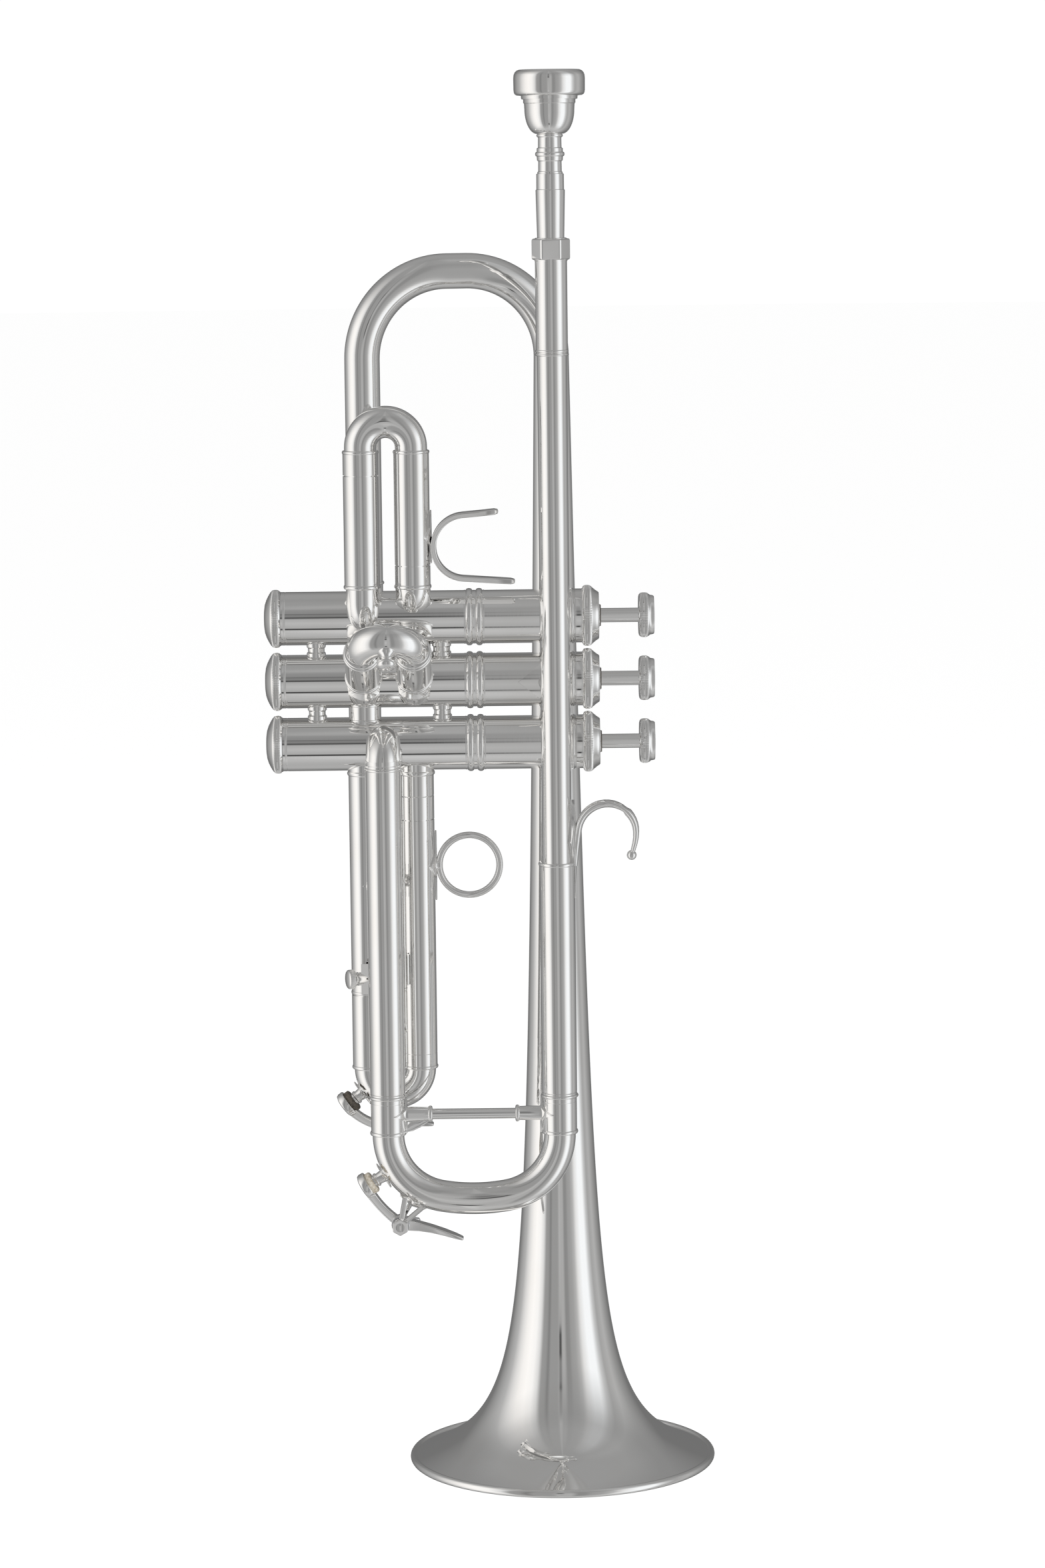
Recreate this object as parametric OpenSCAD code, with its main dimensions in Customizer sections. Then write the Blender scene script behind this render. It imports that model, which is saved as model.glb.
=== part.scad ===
// Piston-valve trumpet in B flat, standing on its bell.
// Frame: origin at the centre of the bell's rim, +Z up the bell's axis towards the mouthpiece,
// +X towards the finger buttons, -Y towards the leadpipe. Millimetres.

/* [Bell] */
// Outer radius of the bell's rim
rim_r = 61.1; // [60.6:0.1:61.6]
// Radius of the wire rolled into the rim
rim_wire_r = 0.9; // [0.7:0.1:1]
// Thickness of the bell's sheet
bell_wall = 0.6; // [0.5:0.1:0.8]
// Height where the bell's bow begins
bow_start_z = 442; // [438:1:446]
// Radius of the two bends of the bell's bow, to the middle of the tube
bow_bend_r = 33.5; // [32:0.5:34.5]

/* [Tubing] */
// Radius of the bore
bore_r = 5.83; // [5.7:0.01:5.83]
// Outer radius of the sliding inner tubes
inner_r = 6.28; // [6.2:0.01:6.28]
// Inner radius of the outer tubes
outer_bore_r = 6.33; // [6.33:0.01:6.36]
// Outer radius of the outer tubes
outer_r = 6.85; // [6.8:0.01:6.9]
// Outer radius of the bent bow tubes
bow_r = 6.2; // [6.1:0.05:6.25]

/* [Valves] */
// Distance between neighbouring valve casings
casing_pitch = 24.65; // [24.5:0.05:24.8]
// Outer radius of a valve casing
casing_r = 10.4; // [10.3:0.05:10.5]
// Radius of a piston
piston_r = 8.6; // [8.5:0.01:8.6]
// How far a valve travels
stroke = 14.5; // [13.5:0.5:14.5]

/* [Slides] */
// Distance between the two legs of each valve slide
leg_gap = 19.6; // [19.4:0.1:19.8]
// Distance between the two legs of the main tuning slide
tuning_gap = 67; // [66.5:0.5:67.5]
// Angle of the second slide above the horizontal
second_tilt = 33; // [31:1:35]

/* [Hidden] */
$fn = 64;
FAR = 400;
// Where a straight tube meets a bend it laps over it and is this much thicker on each side
LAP = 0.3;
SWELL = 0.02;

// Where the main tubes stand, as [x, y]
lead_xy = [0, -40];
tuning_xy = [-tuning_gap, -40];
valve_y = -21;
middle_z = 317.35;
casing_z = [middle_z + casing_pitch, middle_z, middle_z - casing_pitch];
slide_x = -64.4;
leg_xs = [slide_x - leg_gap / 2, slide_x + leg_gap / 2];
first_y = -31;
tail_xy = [-73.4, -16.5];

// Stations along the leadpipe, as heights
mouth_top_z = 552;
hex_top_z = 488.2;
hex_low_z = 480.1;
receiver_low_z = 443.6;
leadpipe_top_z = 462;
upper_outer_top_z = 246.9;
outer_low_z = 155.5;
bow_top_z = 141.2;
elbow_z = 285.7;

// Stations along a valve, measured on X
cap_floor_x = -110.3;
cap_end_x = -113;
casing_low_x = -106.3;
ledge_x = -28.5;
casing_top_x = 8;
neck_top_x = 11.8;
cap_top_x = 17.4;
hub_top_x = 18.1;
button_x = 32.7;
button_top_x = 39;
neck_r = 9.9;
ledge_bore_r = 9.3;
stem_r = 2.8;

// ---- Shared shapes ----

// A solid rod along Z between two heights
module rod(low, high, r) {
    translate([0, 0, low]) cylinder(h = high - low, r = r);
}

// A tube along Z between two heights
module tube(low, high, r_out, r_in) {
    difference() {
        rod(low, high, r_out);
        rod(low - 1, high + 1, r_in);
    }
}

// A half-round bead that runs round a tube, as a solid of revolution
module bead(z, r, height, proud, r_in) {
    outline = [for (a = [-90:30:90]) [r + proud * cos(a), z + height / 2 * sin(a)]];
    rotate_extrude() polygon(concat(outline, [[r_in, z + height / 2], [r_in, z - height / 2]]));
}

// A bend in the XZ plane, its angles counted from +X towards +Z
module bend(r_bend, from_a, to_a, r_out, r_in) {
    rotate([90, 0, 0]) rotate([0, 0, from_a]) rotate_extrude(angle = to_a - from_a)
        translate([r_bend, 0]) difference() {
            circle(r = r_out);
            circle(r = r_in);
        }
}

// The same bend with no bore, for cutting what sits on it
module solid_bend(r_bend, from_a, to_a, r_out) {
    rotate([90, 0, 0]) rotate([0, 0, from_a]) rotate_extrude(angle = to_a - from_a)
        translate([r_bend, 0]) circle(r = r_out);
}

// A diamond-shaped flange that wraps the +X side of a tube along Z
module diamond_flange(r_tube, thick, half_w, half_h) {
    intersection() {
        tube(-half_h - 1, half_h + 1, r_tube + thick, r_tube);
        rotate([90, 0, 90]) linear_extrude(height = r_tube + thick + 1)
            polygon([[-half_w, 0], [0, half_h], [half_w, 0], [0, -half_h]]);
    }
}

// Puts what is built along Z on the axis of one valve, so that its Z becomes X
module on_valve(i) {
    translate([0, valve_y, casing_z[i]]) rotate([0, 90, 0]) children();
}

// The space that a valve casing takes up
module casing_cut(i) {
    on_valve(i) rod(-FAR, FAR, casing_r);
}

// Puts what is built along Z on the axis of the second slide
module on_second_slide() {
    translate([0, valve_y, middle_z - 4]) rotate([90 - second_tilt, 0, 0]) children();
}

// Turns what points along Z so that it points at an angle in the XZ plane, from +X towards +Z
module point_at(a) {
    rotate([0, 90 - a, 0]) children();
}

// ---- Bell ----

flare_offset = 15.16;
flare_low_z = 2.5;
flare_steps = 40;
flare_ratio = pow((bow_start_z + flare_offset) / (flare_low_z + flare_offset), 1 / flare_steps);

function flare_r(z) = 1244 / pow(z + flare_offset, 1.1325) + 10.97 - 0.01203 * z;
function flare_slope(z) = -1.1325 * 1244 / pow(z + flare_offset, 2.1325) - 0.01203;
function flare_z(i) = (flare_low_z + flare_offset) * pow(flare_ratio, i) - flare_offset;
function inside_of(z) = let (s = sqrt(1 + pow(flare_slope(z), 2)))
    [flare_r(z) - bell_wall / s, z + bell_wall * flare_slope(z) / s];

bead_r = rim_wire_r + 0.4;
bead_z = bead_r - 0.05;
tube_r = flare_r(bow_start_z);
bell_brace_z = [395, 200];

module bell_flare() {
    outside = [for (i = [0:flare_steps]) [flare_r(flare_z(i)), flare_z(i)]];
    inside = [for (i = [flare_steps - 1:-1:0]) inside_of(flare_z(i))];
    color("gainsboro") difference() {
        union() {
            rotate_extrude($fn = 96)
                polygon(concat(outside, [[tube_r - bell_wall, bow_start_z]], inside));
            rotate_extrude($fn = 96) translate([rim_r - bead_r, bead_z]) circle(r = bead_r, $fn = 24);
        }
        rotate_extrude($fn = 96)
            translate([rim_r - bead_r, bead_z]) circle(r = rim_wire_r + 0.03, $fn = 24);
        translate([0, 0, -10]) cylinder(h = 10, r = rim_r + 5);
    }
}

module rim_wire() {
    color("silver") rotate_extrude($fn = 96)
        translate([rim_r - bead_r, bead_z]) circle(r = rim_wire_r, $fn = 24);
}

// Solid space of the bell's outside, for cutting the braces that meet it
module bell_cut() {
    rotate_extrude($fn = 96) polygon(concat(
        [[0, flare_low_z]],
        [for (i = [0:flare_steps]) [flare_r(flare_z(i)), flare_z(i)]],
        [[0, bow_start_z]]
    ));
}

module bell_bow() {
    span = norm(tail_xy);
    turn = atan2(-tail_xy[1], -tail_xy[0]);
    r_in = tube_r - bell_wall;
    color("gainsboro") {
        rotate([0, 0, turn]) {
            translate([-bow_bend_r, 0, bow_start_z]) bend(bow_bend_r, 0, 90, tube_r, r_in);
            translate([-bow_bend_r, 0, bow_start_z + bow_bend_r]) rotate([0, -90, 0])
                tube(-LAP, span - 2 * bow_bend_r + LAP, tube_r + SWELL, r_in - SWELL);
            translate([bow_bend_r - span, 0, bow_start_z]) bend(bow_bend_r, 90, 180, tube_r, r_in);
        }
        difference() {
            translate(tail_xy) tube(casing_z[0], bow_start_z + LAP, tube_r + SWELL, r_in - SWELL);
            casing_cut(0);
        }
    }
}

// ---- Leadpipe side ----

shank_low_z = 464.5;
shank_low_r = 4.75;
shank_top_r = 5.2;

module mouthpiece() {
    cup_z = 537;
    cup_r = 9.6;
    bowl = [for (a = [0:15:75]) [4.85 + (cup_r - 4.85) * sin(90 - a), 528.2 + (cup_z - 528.2) * (1 - sin(a))]];
    bowl_up = [for (i = [len(bowl) - 1:-1:0]) bowl[i]];
    color("silver") translate(lead_xy) rotate_extrude() polygon(concat(
        [[4.2, shank_low_z], [shank_low_r, shank_low_z], [shank_top_r, 489], [5.6, 506.5], [5.25, 506.8]],
        [[5.25, 512.6], [4.8, 512.8], [4.8, 513.4], [4.45, 513.6], [4.45, 517.4], [5, 517.8]],
        [[5, 518.8], [5.6, 519.4], [5.6, 520.8], [5, 521.4], [5, 522.3], [4.45, 522.7]],
        [[4.45, 526.2], [5.05, 526.6], [5.05, 527.8]],
        bowl_up,
        [[cup_r, 539.1], [9.85, 539.4], [9.85, 540.8], [10.8, 541], [10.8, 542.2], [12.6, 542.3]],
        [[13.4, 543], [13.6, 544.2], [13.6, 549.6], [13, 551], [11.6, 551.9], [10.6, mouth_top_z]],
        [[9.2, 551.6], [8.4, 550.6], [8.1, 547], [7.2, 542.6], [5.4, 538.8], [3.2, 536]],
        [[1.9, 534], [1.83, 531], [2.2, 520], [3.2, 495]]
    ));
}

module receiver() {
    taper_top_r = shank_top_r + 0.03;
    taper_low_r = shank_low_r + 0.05;
    color("silver") translate(lead_xy) difference() {
        union() {
            rod(receiver_low_z, hex_low_z, 6.15);
            intersection() {
                translate([0, 0, hex_low_z]) cylinder(h = hex_top_z - hex_low_z, r = 7.5, $fn = 6);
                rotate_extrude() polygon([
                    [0, hex_low_z], [6.7, hex_low_z], [7.6, hex_low_z + 0.9],
                    [7.6, hex_top_z - 0.9], [6.7, hex_top_z], [0, hex_top_z]
                ]);
            }
            bead(receiver_low_z + 0.5, 6.15, 1, 0.4, 6);
            bead(receiver_low_z + 1.9, 6.15, 1, 0.4, 6);
        }
        rod(receiver_low_z - 1, leadpipe_top_z, 5.75);
        rotate_extrude() polygon([
            [0, leadpipe_top_z - 1], [taper_low_r, leadpipe_top_z - 1], [taper_low_r, shank_low_z],
            [taper_top_r, hex_top_z + 1], [0, hex_top_z + 1]
        ]);
    }
}

module leadpipe() {
    color("gainsboro") translate(lead_xy) tube(239, leadpipe_top_z, 5.75, 5.2);
}

module tuning_outer_upper() {
    color("gainsboro") translate(lead_xy) {
        tube(outer_low_z, upper_outer_top_z, outer_r, outer_bore_r);
        bead(upper_outer_top_z + 0.6, outer_r, 1.3, 0.4, 5.75);
        bead(outer_low_z + 0.7, outer_r, 1.3, 0.5, outer_bore_r);
    }
}

module tuning_outer_lower() {
    color("gainsboro") translate(tuning_xy) {
        tube(outer_low_z, elbow_z, outer_r, outer_bore_r);
        bead(elbow_z - 0.6, outer_r, 1.2, 0.4, outer_bore_r);
        bead(outer_low_z + 0.7, outer_r, 1.3, 0.5, outer_bore_r);
    }
}

module third_knuckle() {
    elbow_r = 8;
    color("gainsboro") difference() {
        translate([tuning_xy[0], tuning_xy[1] + elbow_r, elbow_z]) rotate([0, 0, 90]) {
            bend(elbow_r, 90, 180, 6.6, bore_r);
            translate([0, 0, elbow_r]) rotate([0, 90, 0]) tube(0, 8, 6.6, bore_r);
        }
        casing_cut(2);
    }
}

hook_centre = [19.5, 259.5];
hook_r = 11.2;

module finger_hook() {
    foot_low = 233;
    foot_high = 272.4;
    foot_mid = 256;
    color("silver") difference() {
        translate([0, lead_xy[1], 0]) {
            rotate([90, 0, 90]) translate([0, 0, 4]) linear_extrude(height = 4.2)
                polygon([[0, foot_low], [3.2, foot_mid], [2.2, foot_high], [-2.2, foot_high], [-3.2, foot_mid]]);
            translate([hook_centre[0], 0, hook_centre[1]]) rotate([90, 0, 0])
                rotate_extrude(angle = 180) translate([hook_r, 0]) {
                    square([3, 2.6], center = true);
                    translate([0, 1.3]) circle(r = 1.5);
                    translate([0, -1.3]) circle(r = 1.5);
                }
            translate([hook_centre[0] + hook_r, 0, hook_centre[1]]) rotate([0, 9, 0]) rod(-9, 0.3, 1.3);
            translate([hook_centre[0] + hook_r - 1.5, 0, hook_centre[1] - 9.3]) sphere(r = 1.8);
            translate([hook_centre[0] - hook_r, 0, hook_centre[1]]) rod(-4, 0.5, 1.4);
        }
        translate(lead_xy) {
            rod(foot_low - 5, foot_high + 5, 5.76);
            rod(foot_low - 5, upper_outer_top_z + 1.3, 7.3);
        }
    }
}

// ---- Valve section ----

// A round port through one wall of a casing, at a station and turned about the valve's axis
module port(x, a) {
    translate([0, 0, x]) rotate([0, 0, a]) rotate([0, 90, 0]) rod(6, casing_r + 3, 5.4);
}

module casing_body(i) {
    on_valve(i) difference() {
        union() {
            rod(casing_low_x, casing_top_x, casing_r);
            rod(casing_low_x - 3.6, casing_low_x, neck_r);
            rod(casing_top_x, neck_top_x, neck_r);
            bead(-33, casing_r, 2.6, 0.6, 9.5);
            bead(-29.3, casing_r, 2.6, 0.6, 9.5);
            bead(casing_top_x - 1.2, casing_r, 1.4, 0.4, 9.8);
        }
        rod(casing_low_x - 5, ledge_x, piston_r + 0.05);
        rod(ledge_x, neck_top_x + 1, ledge_bore_r);
        children();
    }
}

// Ports are turned so that 180 is up, 0 is down and -90 is towards the leadpipe
module casing_1() {
    color("gainsboro") casing_body(0) {
        port(tail_xy[0], 180);
        port(leg_xs[0], -95);
        port(leg_xs[1], -120);
        port(leg_xs[1], 0);
    }
}

module casing_2() {
    color("gainsboro") casing_body(1) {
        port(leg_xs[0], -90);
        port(leg_xs[1], -90);
        port(leg_xs[1], 180);
        port(leg_xs[0], 0);
    }
}

module casing_3() {
    color("gainsboro") casing_body(2) {
        port(tuning_xy[0], -90);
        port(leg_xs[0], 0);
        port(leg_xs[1], 0);
        port(leg_xs[0], 180);
    }
}

module bottom_caps() {
    color("silver") for (i = [0:2]) on_valve(i) difference() {
        rotate_extrude() polygon([
            [0, cap_end_x], [5.5, cap_end_x + 0.6], [9.5, cap_floor_x], [10.6, cap_floor_x + 0.3],
            [11.3, cap_floor_x + 0.9], [11.3, casing_low_x - 0.6], [10.6, casing_low_x], [0, casing_low_x]
        ]);
        rod(cap_floor_x + 0.2, casing_low_x + 1, neck_r + 0.04);
        rod(cap_end_x - 1, cap_floor_x + 1, 1.5);
    }
}

module top_caps() {
    color("silver") for (i = [0:2]) on_valve(i) difference() {
        rotate_extrude() polygon([
            [0, casing_top_x], [10.5, casing_top_x], [10.5, 10.9], [11.3, 10.9], [11.85, 11.5],
            [11.85, 14.2], [11.3, 14.9], [9.2, 17], [9.2, cap_top_x], [4.35, cap_top_x],
            [4.35, hub_top_x], [0, hub_top_x]
        ]);
        rod(casing_top_x - 1, neck_top_x + 0.2, neck_r + 0.04);
        rod(neck_top_x, hub_top_x + 1, stem_r + 0.05);
    }
}

module casing_spacers() {
    color("silver") for (i = [0:1]) for (x = [-92.8, -44]) difference() {
        translate([x, valve_y, (casing_z[i] + casing_z[i + 1]) / 2]) rotate_extrude() polygon([
            [0, -5], [4.05, -5], [4.05, -0.9], [3.3, -0.5], [3.3, 0.5], [4.05, 0.9], [4.05, 5], [0, 5]
        ]);
        casing_cut(i);
        casing_cut(i + 1);
    }
}

module crossover_tubes() {
    color("gainsboro") for (i = [0:1]) difference() {
        translate([leg_xs[1 - i], valve_y, (casing_z[i] + casing_z[i + 1]) / 2]) tube(-8, 8, 6.3, bore_r);
        casing_cut(i);
        casing_cut(i + 1);
    }
}

module valve_guides() {
    color("khaki") for (i = [0:2]) on_valve(i) difference() {
        intersection() {
            rod(ledge_x, ledge_x + 2, ledge_bore_r - 0.05);
            union() {
                translate([-2, -10, ledge_x - 1]) cube([4, 20, 4]);
                rod(ledge_x - 1, ledge_x + 3, 5.6);
            }
        }
        rod(ledge_x - 1, ledge_x + 3, 1.5);
    }
}

module cap_felts() {
    color("ivory") for (i = [0:2]) on_valve(i) tube(9.7, neck_top_x + 0.15, ledge_bore_r - 0.1, stem_r + 0.3);
}

// ---- What moves in each valve ----

piston_low_x = -87;
piston_top_x = -34;
barrel_top_x = 9.5;
barrel_r = 7.2;
barrel_bore_r = 6.6;

module piston(i) {
    color("lightsteelblue") on_valve(i) difference() {
        union() {
            rod(piston_low_x, piston_top_x, piston_r);
            rod(piston_top_x - 0.5, barrel_top_x, barrel_r);
        }
        difference() {
            rod(piston_low_x + 0.9, piston_top_x - 0.9, piston_r - 0.9);
            translate([0, 0, leg_xs[0]]) rotate([0, 90, 0]) rod(-12, 12, 6.1);
            translate([0, 0, slide_x + 7]) rotate([90, 0, 0]) rod(-12, 12, 6.1);
        }
        translate([0, 0, leg_xs[0]]) rotate([0, 90, 0]) rod(-12, 12, 5.4);
        translate([0, 0, slide_x + 7]) rotate([90, 0, 0]) rod(-12, 12, 5.4);
        rod(piston_low_x - 1, piston_low_x + 2, 2.5);
        rod(piston_top_x, barrel_top_x - 2, barrel_bore_r);
        translate([-2.2, -10, ledge_x - 2]) cube([4.4, 20, stroke + 6]);
    }
}

module stem(i) {
    color("silver") on_valve(i) rod(barrel_top_x, button_x, stem_r);
}

module button(i) {
    color("silver") on_valve(i) difference() {
        rotate_extrude() polygon([
            [0, button_x], [7.8, button_x], [8.5, button_x + 0.5], [8.7, button_x + 1.2],
            [8.7, button_x + 3.3], [8.4, button_x + 4.1], [7.7, button_x + 4.6],
            [7.5, button_top_x - 0.3], [7, button_top_x - 0.2], [0, button_top_x - 0.2]
        ]);
        rod(button_top_x - 1.7, button_top_x + 1, 6.9);
    }
}

module pearl(i) {
    low = button_top_x - 1.7;
    color("whitesmoke") on_valve(i) rotate_extrude() polygon([
        [0, low], [6.87, low], [6.87, button_top_x - 0.5], [4, button_top_x - 0.1], [0, button_top_x]
    ]);
}

// Points of one turn of wire section, placed along a helix about Z
spring_turns = 8;
spring_steps = 18;
spring_sides = 6;
spring_wire = 0.45;
spring_mid_r = 5.5;
spring_low_x = ledge_x + 2.5;
spring_high_x = barrel_top_x - 2.5;
spring_rings = spring_turns * spring_steps;

function spring_point(k, s) = let (
    turn = 360 * k / spring_steps,
    r = spring_mid_r + spring_wire * cos(360 * s / spring_sides),
    z = spring_low_x + (spring_high_x - spring_low_x) * k / spring_rings
) [r * cos(turn), r * sin(turn), z + spring_wire * sin(360 * s / spring_sides)];

module spring(i) {
    points = [for (k = [0:spring_rings]) for (s = [0:spring_sides - 1]) spring_point(k, s)];
    sides = [for (k = [0:spring_rings - 1]) for (s = [0:spring_sides - 1]) let (
        a = k * spring_sides + s,
        b = k * spring_sides + (s + 1) % spring_sides
    ) [a, b, b + spring_sides, a + spring_sides]];
    first = [for (s = [spring_sides - 1:-1:0]) s];
    last = [for (s = [0:spring_sides - 1]) spring_rings * spring_sides + s];
    color("lightgray") on_valve(i) polyhedron(points = points, faces = concat(sides, [first, last]));
}

// ---- Water keys ----
// Both keys stand on the outer side of a bow. Each is given by the bow's centre and bend, the angles
// of its nipple and its pivot, how far the pivot is from that centre, and where the thumb tip ends.

// [bow centre x, y, z], bend radius, nipple angle, pivot angle, nipple end, pivot distance, tip offset
tuning_key = [[25 - tuning_gap, -40, bow_top_z], 25, 211, 239.6, 35.9, 40.9, [24.5, -6.5]];
third_key = [[slide_x, valve_y, 164], leg_gap / 2, 217, 258.6, 20.4, 23.6, [19.5, 0.5]];
cork_thick = 3;
hinge_r = 2.7;
pin_r = 1.1;

function pivot_of(key) = [key[5] * cos(key[3]), 0, key[5] * sin(key[3])];

module key_nipple(key) {
    difference() {
        translate(key[0]) point_at(key[2]) {
            rod(key[1], key[4], 2.4);
            rod(key[1], key[1] + bow_r + 1, 3.6);
        }
        translate(key[0]) point_at(key[2]) rod(key[1] - 2, key[4] + 1, 1.4);
        translate(key[0]) solid_bend(key[1], key[2] - 30, key[2] + 30, bow_r);
    }
}

module key_saddle(key) {
    reach = key[5] - key[1];
    translate(key[0]) difference() {
        union() {
            translate(pivot_of(key)) rotate([90, 0, 0]) {
                rod(-6.6, 8, pin_r);
                translate([0, 0, 6.6]) cylinder(h = 2.4, r = 3.3, $fn = 6);
            }
            for (side = [-1, 1]) point_at(key[3]) translate([0, side * 5.3, key[1]]) {
                translate([-1.5, -0.8, 0]) cube([3, 1.6, reach]);
                translate([0, 0, reach]) rotate([90, 0, 0]) rod(-0.8, 0.8, 2.5);
            }
            point_at(key[3]) translate([-3.2, -6.1, key[1]]) cube([6.4, 12.2, bow_r + 1.2]);
        }
        solid_bend(key[1], key[3] - 30, key[3] + 30, bow_r);
    }
}

module key_lever(key) {
    cup_low = key[4] + cork_thick - 1.2;
    cup_high = key[4] + cork_thick + 2.4;
    arm_in = key[5] - 1.2;
    tip = key[6];
    translate(key[0]) difference() {
        union() {
            point_at(key[2]) rod(cup_low, cup_high, 5.3);
            rotate([90, 0, 0]) rotate([0, 0, key[2]]) rotate_extrude(angle = key[3] - key[2])
                translate([arm_in, -2.6]) square([2.6, 5.2]);
            translate(pivot_of(key)) {
                rotate([90, 0, 0]) rod(-4.3, 4.3, hinge_r);
                rotate([90, 0, 0]) translate([0, 0, -3]) linear_extrude(height = 6)
                    polygon([[0, -2.5], [0, 2], [tip[0], tip[1] + 0.6], [tip[0], tip[1] - 0.6]]);
            }
        }
        translate(pivot_of(key)) rotate([90, 0, 0]) rod(-10, 10, pin_r + 0.05);
        point_at(key[2]) rod(key[4] - 1, key[4] + cork_thick, 4.32);
    }
}

module key_cork(key) {
    translate(key[0]) point_at(key[2]) rod(key[4] + 0.02, key[4] + cork_thick, 4.3);
}

module tuning_key_saddle() {
    color("silver") {
        key_saddle(tuning_key);
        key_nipple(tuning_key);
    }
}

module tuning_key_lever() {
    color("silver") key_lever(tuning_key);
}

module tuning_key_cork() {
    color("tan") key_cork(tuning_key);
}

module third_key_saddle() {
    color("silver") {
        key_saddle(third_key);
        key_nipple(third_key);
    }
}

module third_key_lever() {
    color("silver") key_lever(third_key);
}

module third_key_cork() {
    color("dimgray") key_cork(third_key);
}

// ---- Main tuning slide ----

module tuning_bow() {
    bend_r = tuning_key[1];
    sweep = 80;
    offset_r = (tuning_gap / 2 - bend_r) / cos(sweep);
    crown_r = bend_r + offset_r;
    lap_a = LAP / crown_r * 180 / PI;
    color("gainsboro") {
        for (xy = [lead_xy, tuning_xy]) translate(xy) {
            tube(bow_top_z - LAP, 235, inner_r, bore_r - SWELL);
            tube(bow_top_z, outer_low_z, 6.7, bore_r - SWELL);
            bead(bow_top_z + 0.7, 6.7, 1.4, 0.5, bore_r);
        }
        translate([tuning_xy[0] + bend_r, lead_xy[1], bow_top_z]) bend(bend_r, 180, 180 + sweep, bow_r, bore_r);
        translate([-bend_r, lead_xy[1], bow_top_z]) bend(bend_r, 360 - sweep, 360, bow_r, bore_r);
        translate([-tuning_gap / 2, lead_xy[1], bow_top_z + offset_r * sin(sweep)])
            bend(crown_r, 180 + sweep - lap_a, 360 - sweep + lap_a, bow_r + SWELL, bore_r - SWELL);
    }
}

module tuning_brace() {
    z = 149.2;
    color("silver") translate([0, lead_xy[1], z]) {
        for (side = [0, 1]) translate([-side * tuning_gap, 0, 0]) mirror([1 - side, 0, 0]) {
            diamond_flange(6.7, 0.7, 6.4, 5.2);
            difference() {
                rotate([0, 90, 0]) {
                    rod(4, 17.4, 3);
                    bead(16.4, 3, 1.6, 0.3, 2.6);
                }
                rod(-9, 9, 6.7);
            }
        }
        rotate([0, -90, 0]) rod(15, tuning_gap - 15, 2.1);
    }
}

// ---- First slide ----

first_ring_z = 355;
first_line_z = 398;
first_bow_z = 406.4;
sleeve_low_z = 363.4;

// A tube that comes down beside a casing and turns into it with a rounded knuckle
module knuckle(x, low_z) {
    difference() {
        translate([x, first_y, 0]) {
            rod(low_z, first_ring_z, 6.3);
            translate([0, 0, low_z]) sphere(r = 6.3);
            translate([0, 0, low_z]) rotate([-90, 0, 0]) rod(0, 8, 6.3);
        }
        translate([x, first_y, 0]) rod(low_z, first_ring_z + 1, bore_r);
        translate([x, first_y, low_z]) rotate([-90, 0, 0]) rod(0, 9, 5.5);
        casing_cut(0);
    }
}

module first_slide_outer() {
    color("gainsboro") {
        knuckle(leg_xs[0], 342.8);
        knuckle(leg_xs[1], 349.9);
        translate([leg_xs[0], first_y, 0]) {
            tube(first_ring_z, first_line_z, outer_r, outer_bore_r);
            bead(first_ring_z, outer_r, 1.6, 0.4, bore_r);
        }
        translate([leg_xs[1], first_y, 0]) {
            tube(first_ring_z, 402, inner_r, bore_r);
            tube(first_ring_z, sleeve_low_z - 0.2, outer_r, bore_r);
            bead(first_ring_z, outer_r, 1.6, 0.4, bore_r);
        }
    }
}

module first_slide_bow() {
    arc_z = first_bow_z + 2.4;
    color("gainsboro") {
        translate([leg_xs[0], first_y, 0]) {
            tube(357.5, first_bow_z, inner_r, bore_r);
            tube(first_line_z + 0.1, first_bow_z, outer_r - 0.1, bore_r);
        }
        translate([leg_xs[1], first_y, 0]) tube(sleeve_low_z, first_bow_z, outer_r, outer_bore_r);
        for (x = leg_xs) translate([x, first_y, 0]) {
            bead(first_bow_z + 0.6, outer_r - 0.3, 1.4, 0.5, bore_r);
            tube(first_bow_z, arc_z, bow_r, bore_r);
        }
        translate([slide_x, first_y, arc_z]) bend(leg_gap / 2, 0, 180, bow_r, bore_r);
    }
}

// A flat arm that starts at the origin and runs along +X
module arm(length, thick, band) {
    translate([0, -thick / 2 - SWELL, -band / 2 - SWELL])
        cube([length, thick + 2 * SWELL, band + 2 * SWELL]);
}

module thumb_saddle() {
    band = 8;
    thick = 2.2;
    centre = [-34.2, 370.2];
    arc_r = 12.3;
    color("silver") {
        translate([leg_xs[1], first_y, 374.2]) diamond_flange(outer_r, 0.8, 4.6, 10.3);
        translate([centre[0], first_y, centre[1]]) rotate([90, 0, 0]) {
            rotate([0, 0, 95]) rotate_extrude(angle = 171) translate([arc_r, 0]) square([thick, band], center = true);
            rotate([0, 0, 5]) translate([-LAP, arc_r, 0]) arm(14, thick, band);
            rotate([0, 0, -4]) translate([-LAP, -arc_r, 0]) arm(20, thick, band);
            rotate([0, -90, 0]) rod(arc_r - 0.5, arc_r + 1.1, 3);
        }
    }
}

// ---- Second slide ----

second_ring_t = 31.8;

module second_slide_outer() {
    color("gainsboro") difference() {
        on_second_slide() for (x = leg_xs) translate([x, 0, 0]) {
            tube(4, second_ring_t, outer_r, outer_bore_r);
            bead(second_ring_t - 0.6, outer_r, 1.2, 0.4, outer_bore_r);
        }
        casing_cut(1);
    }
}

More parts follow.
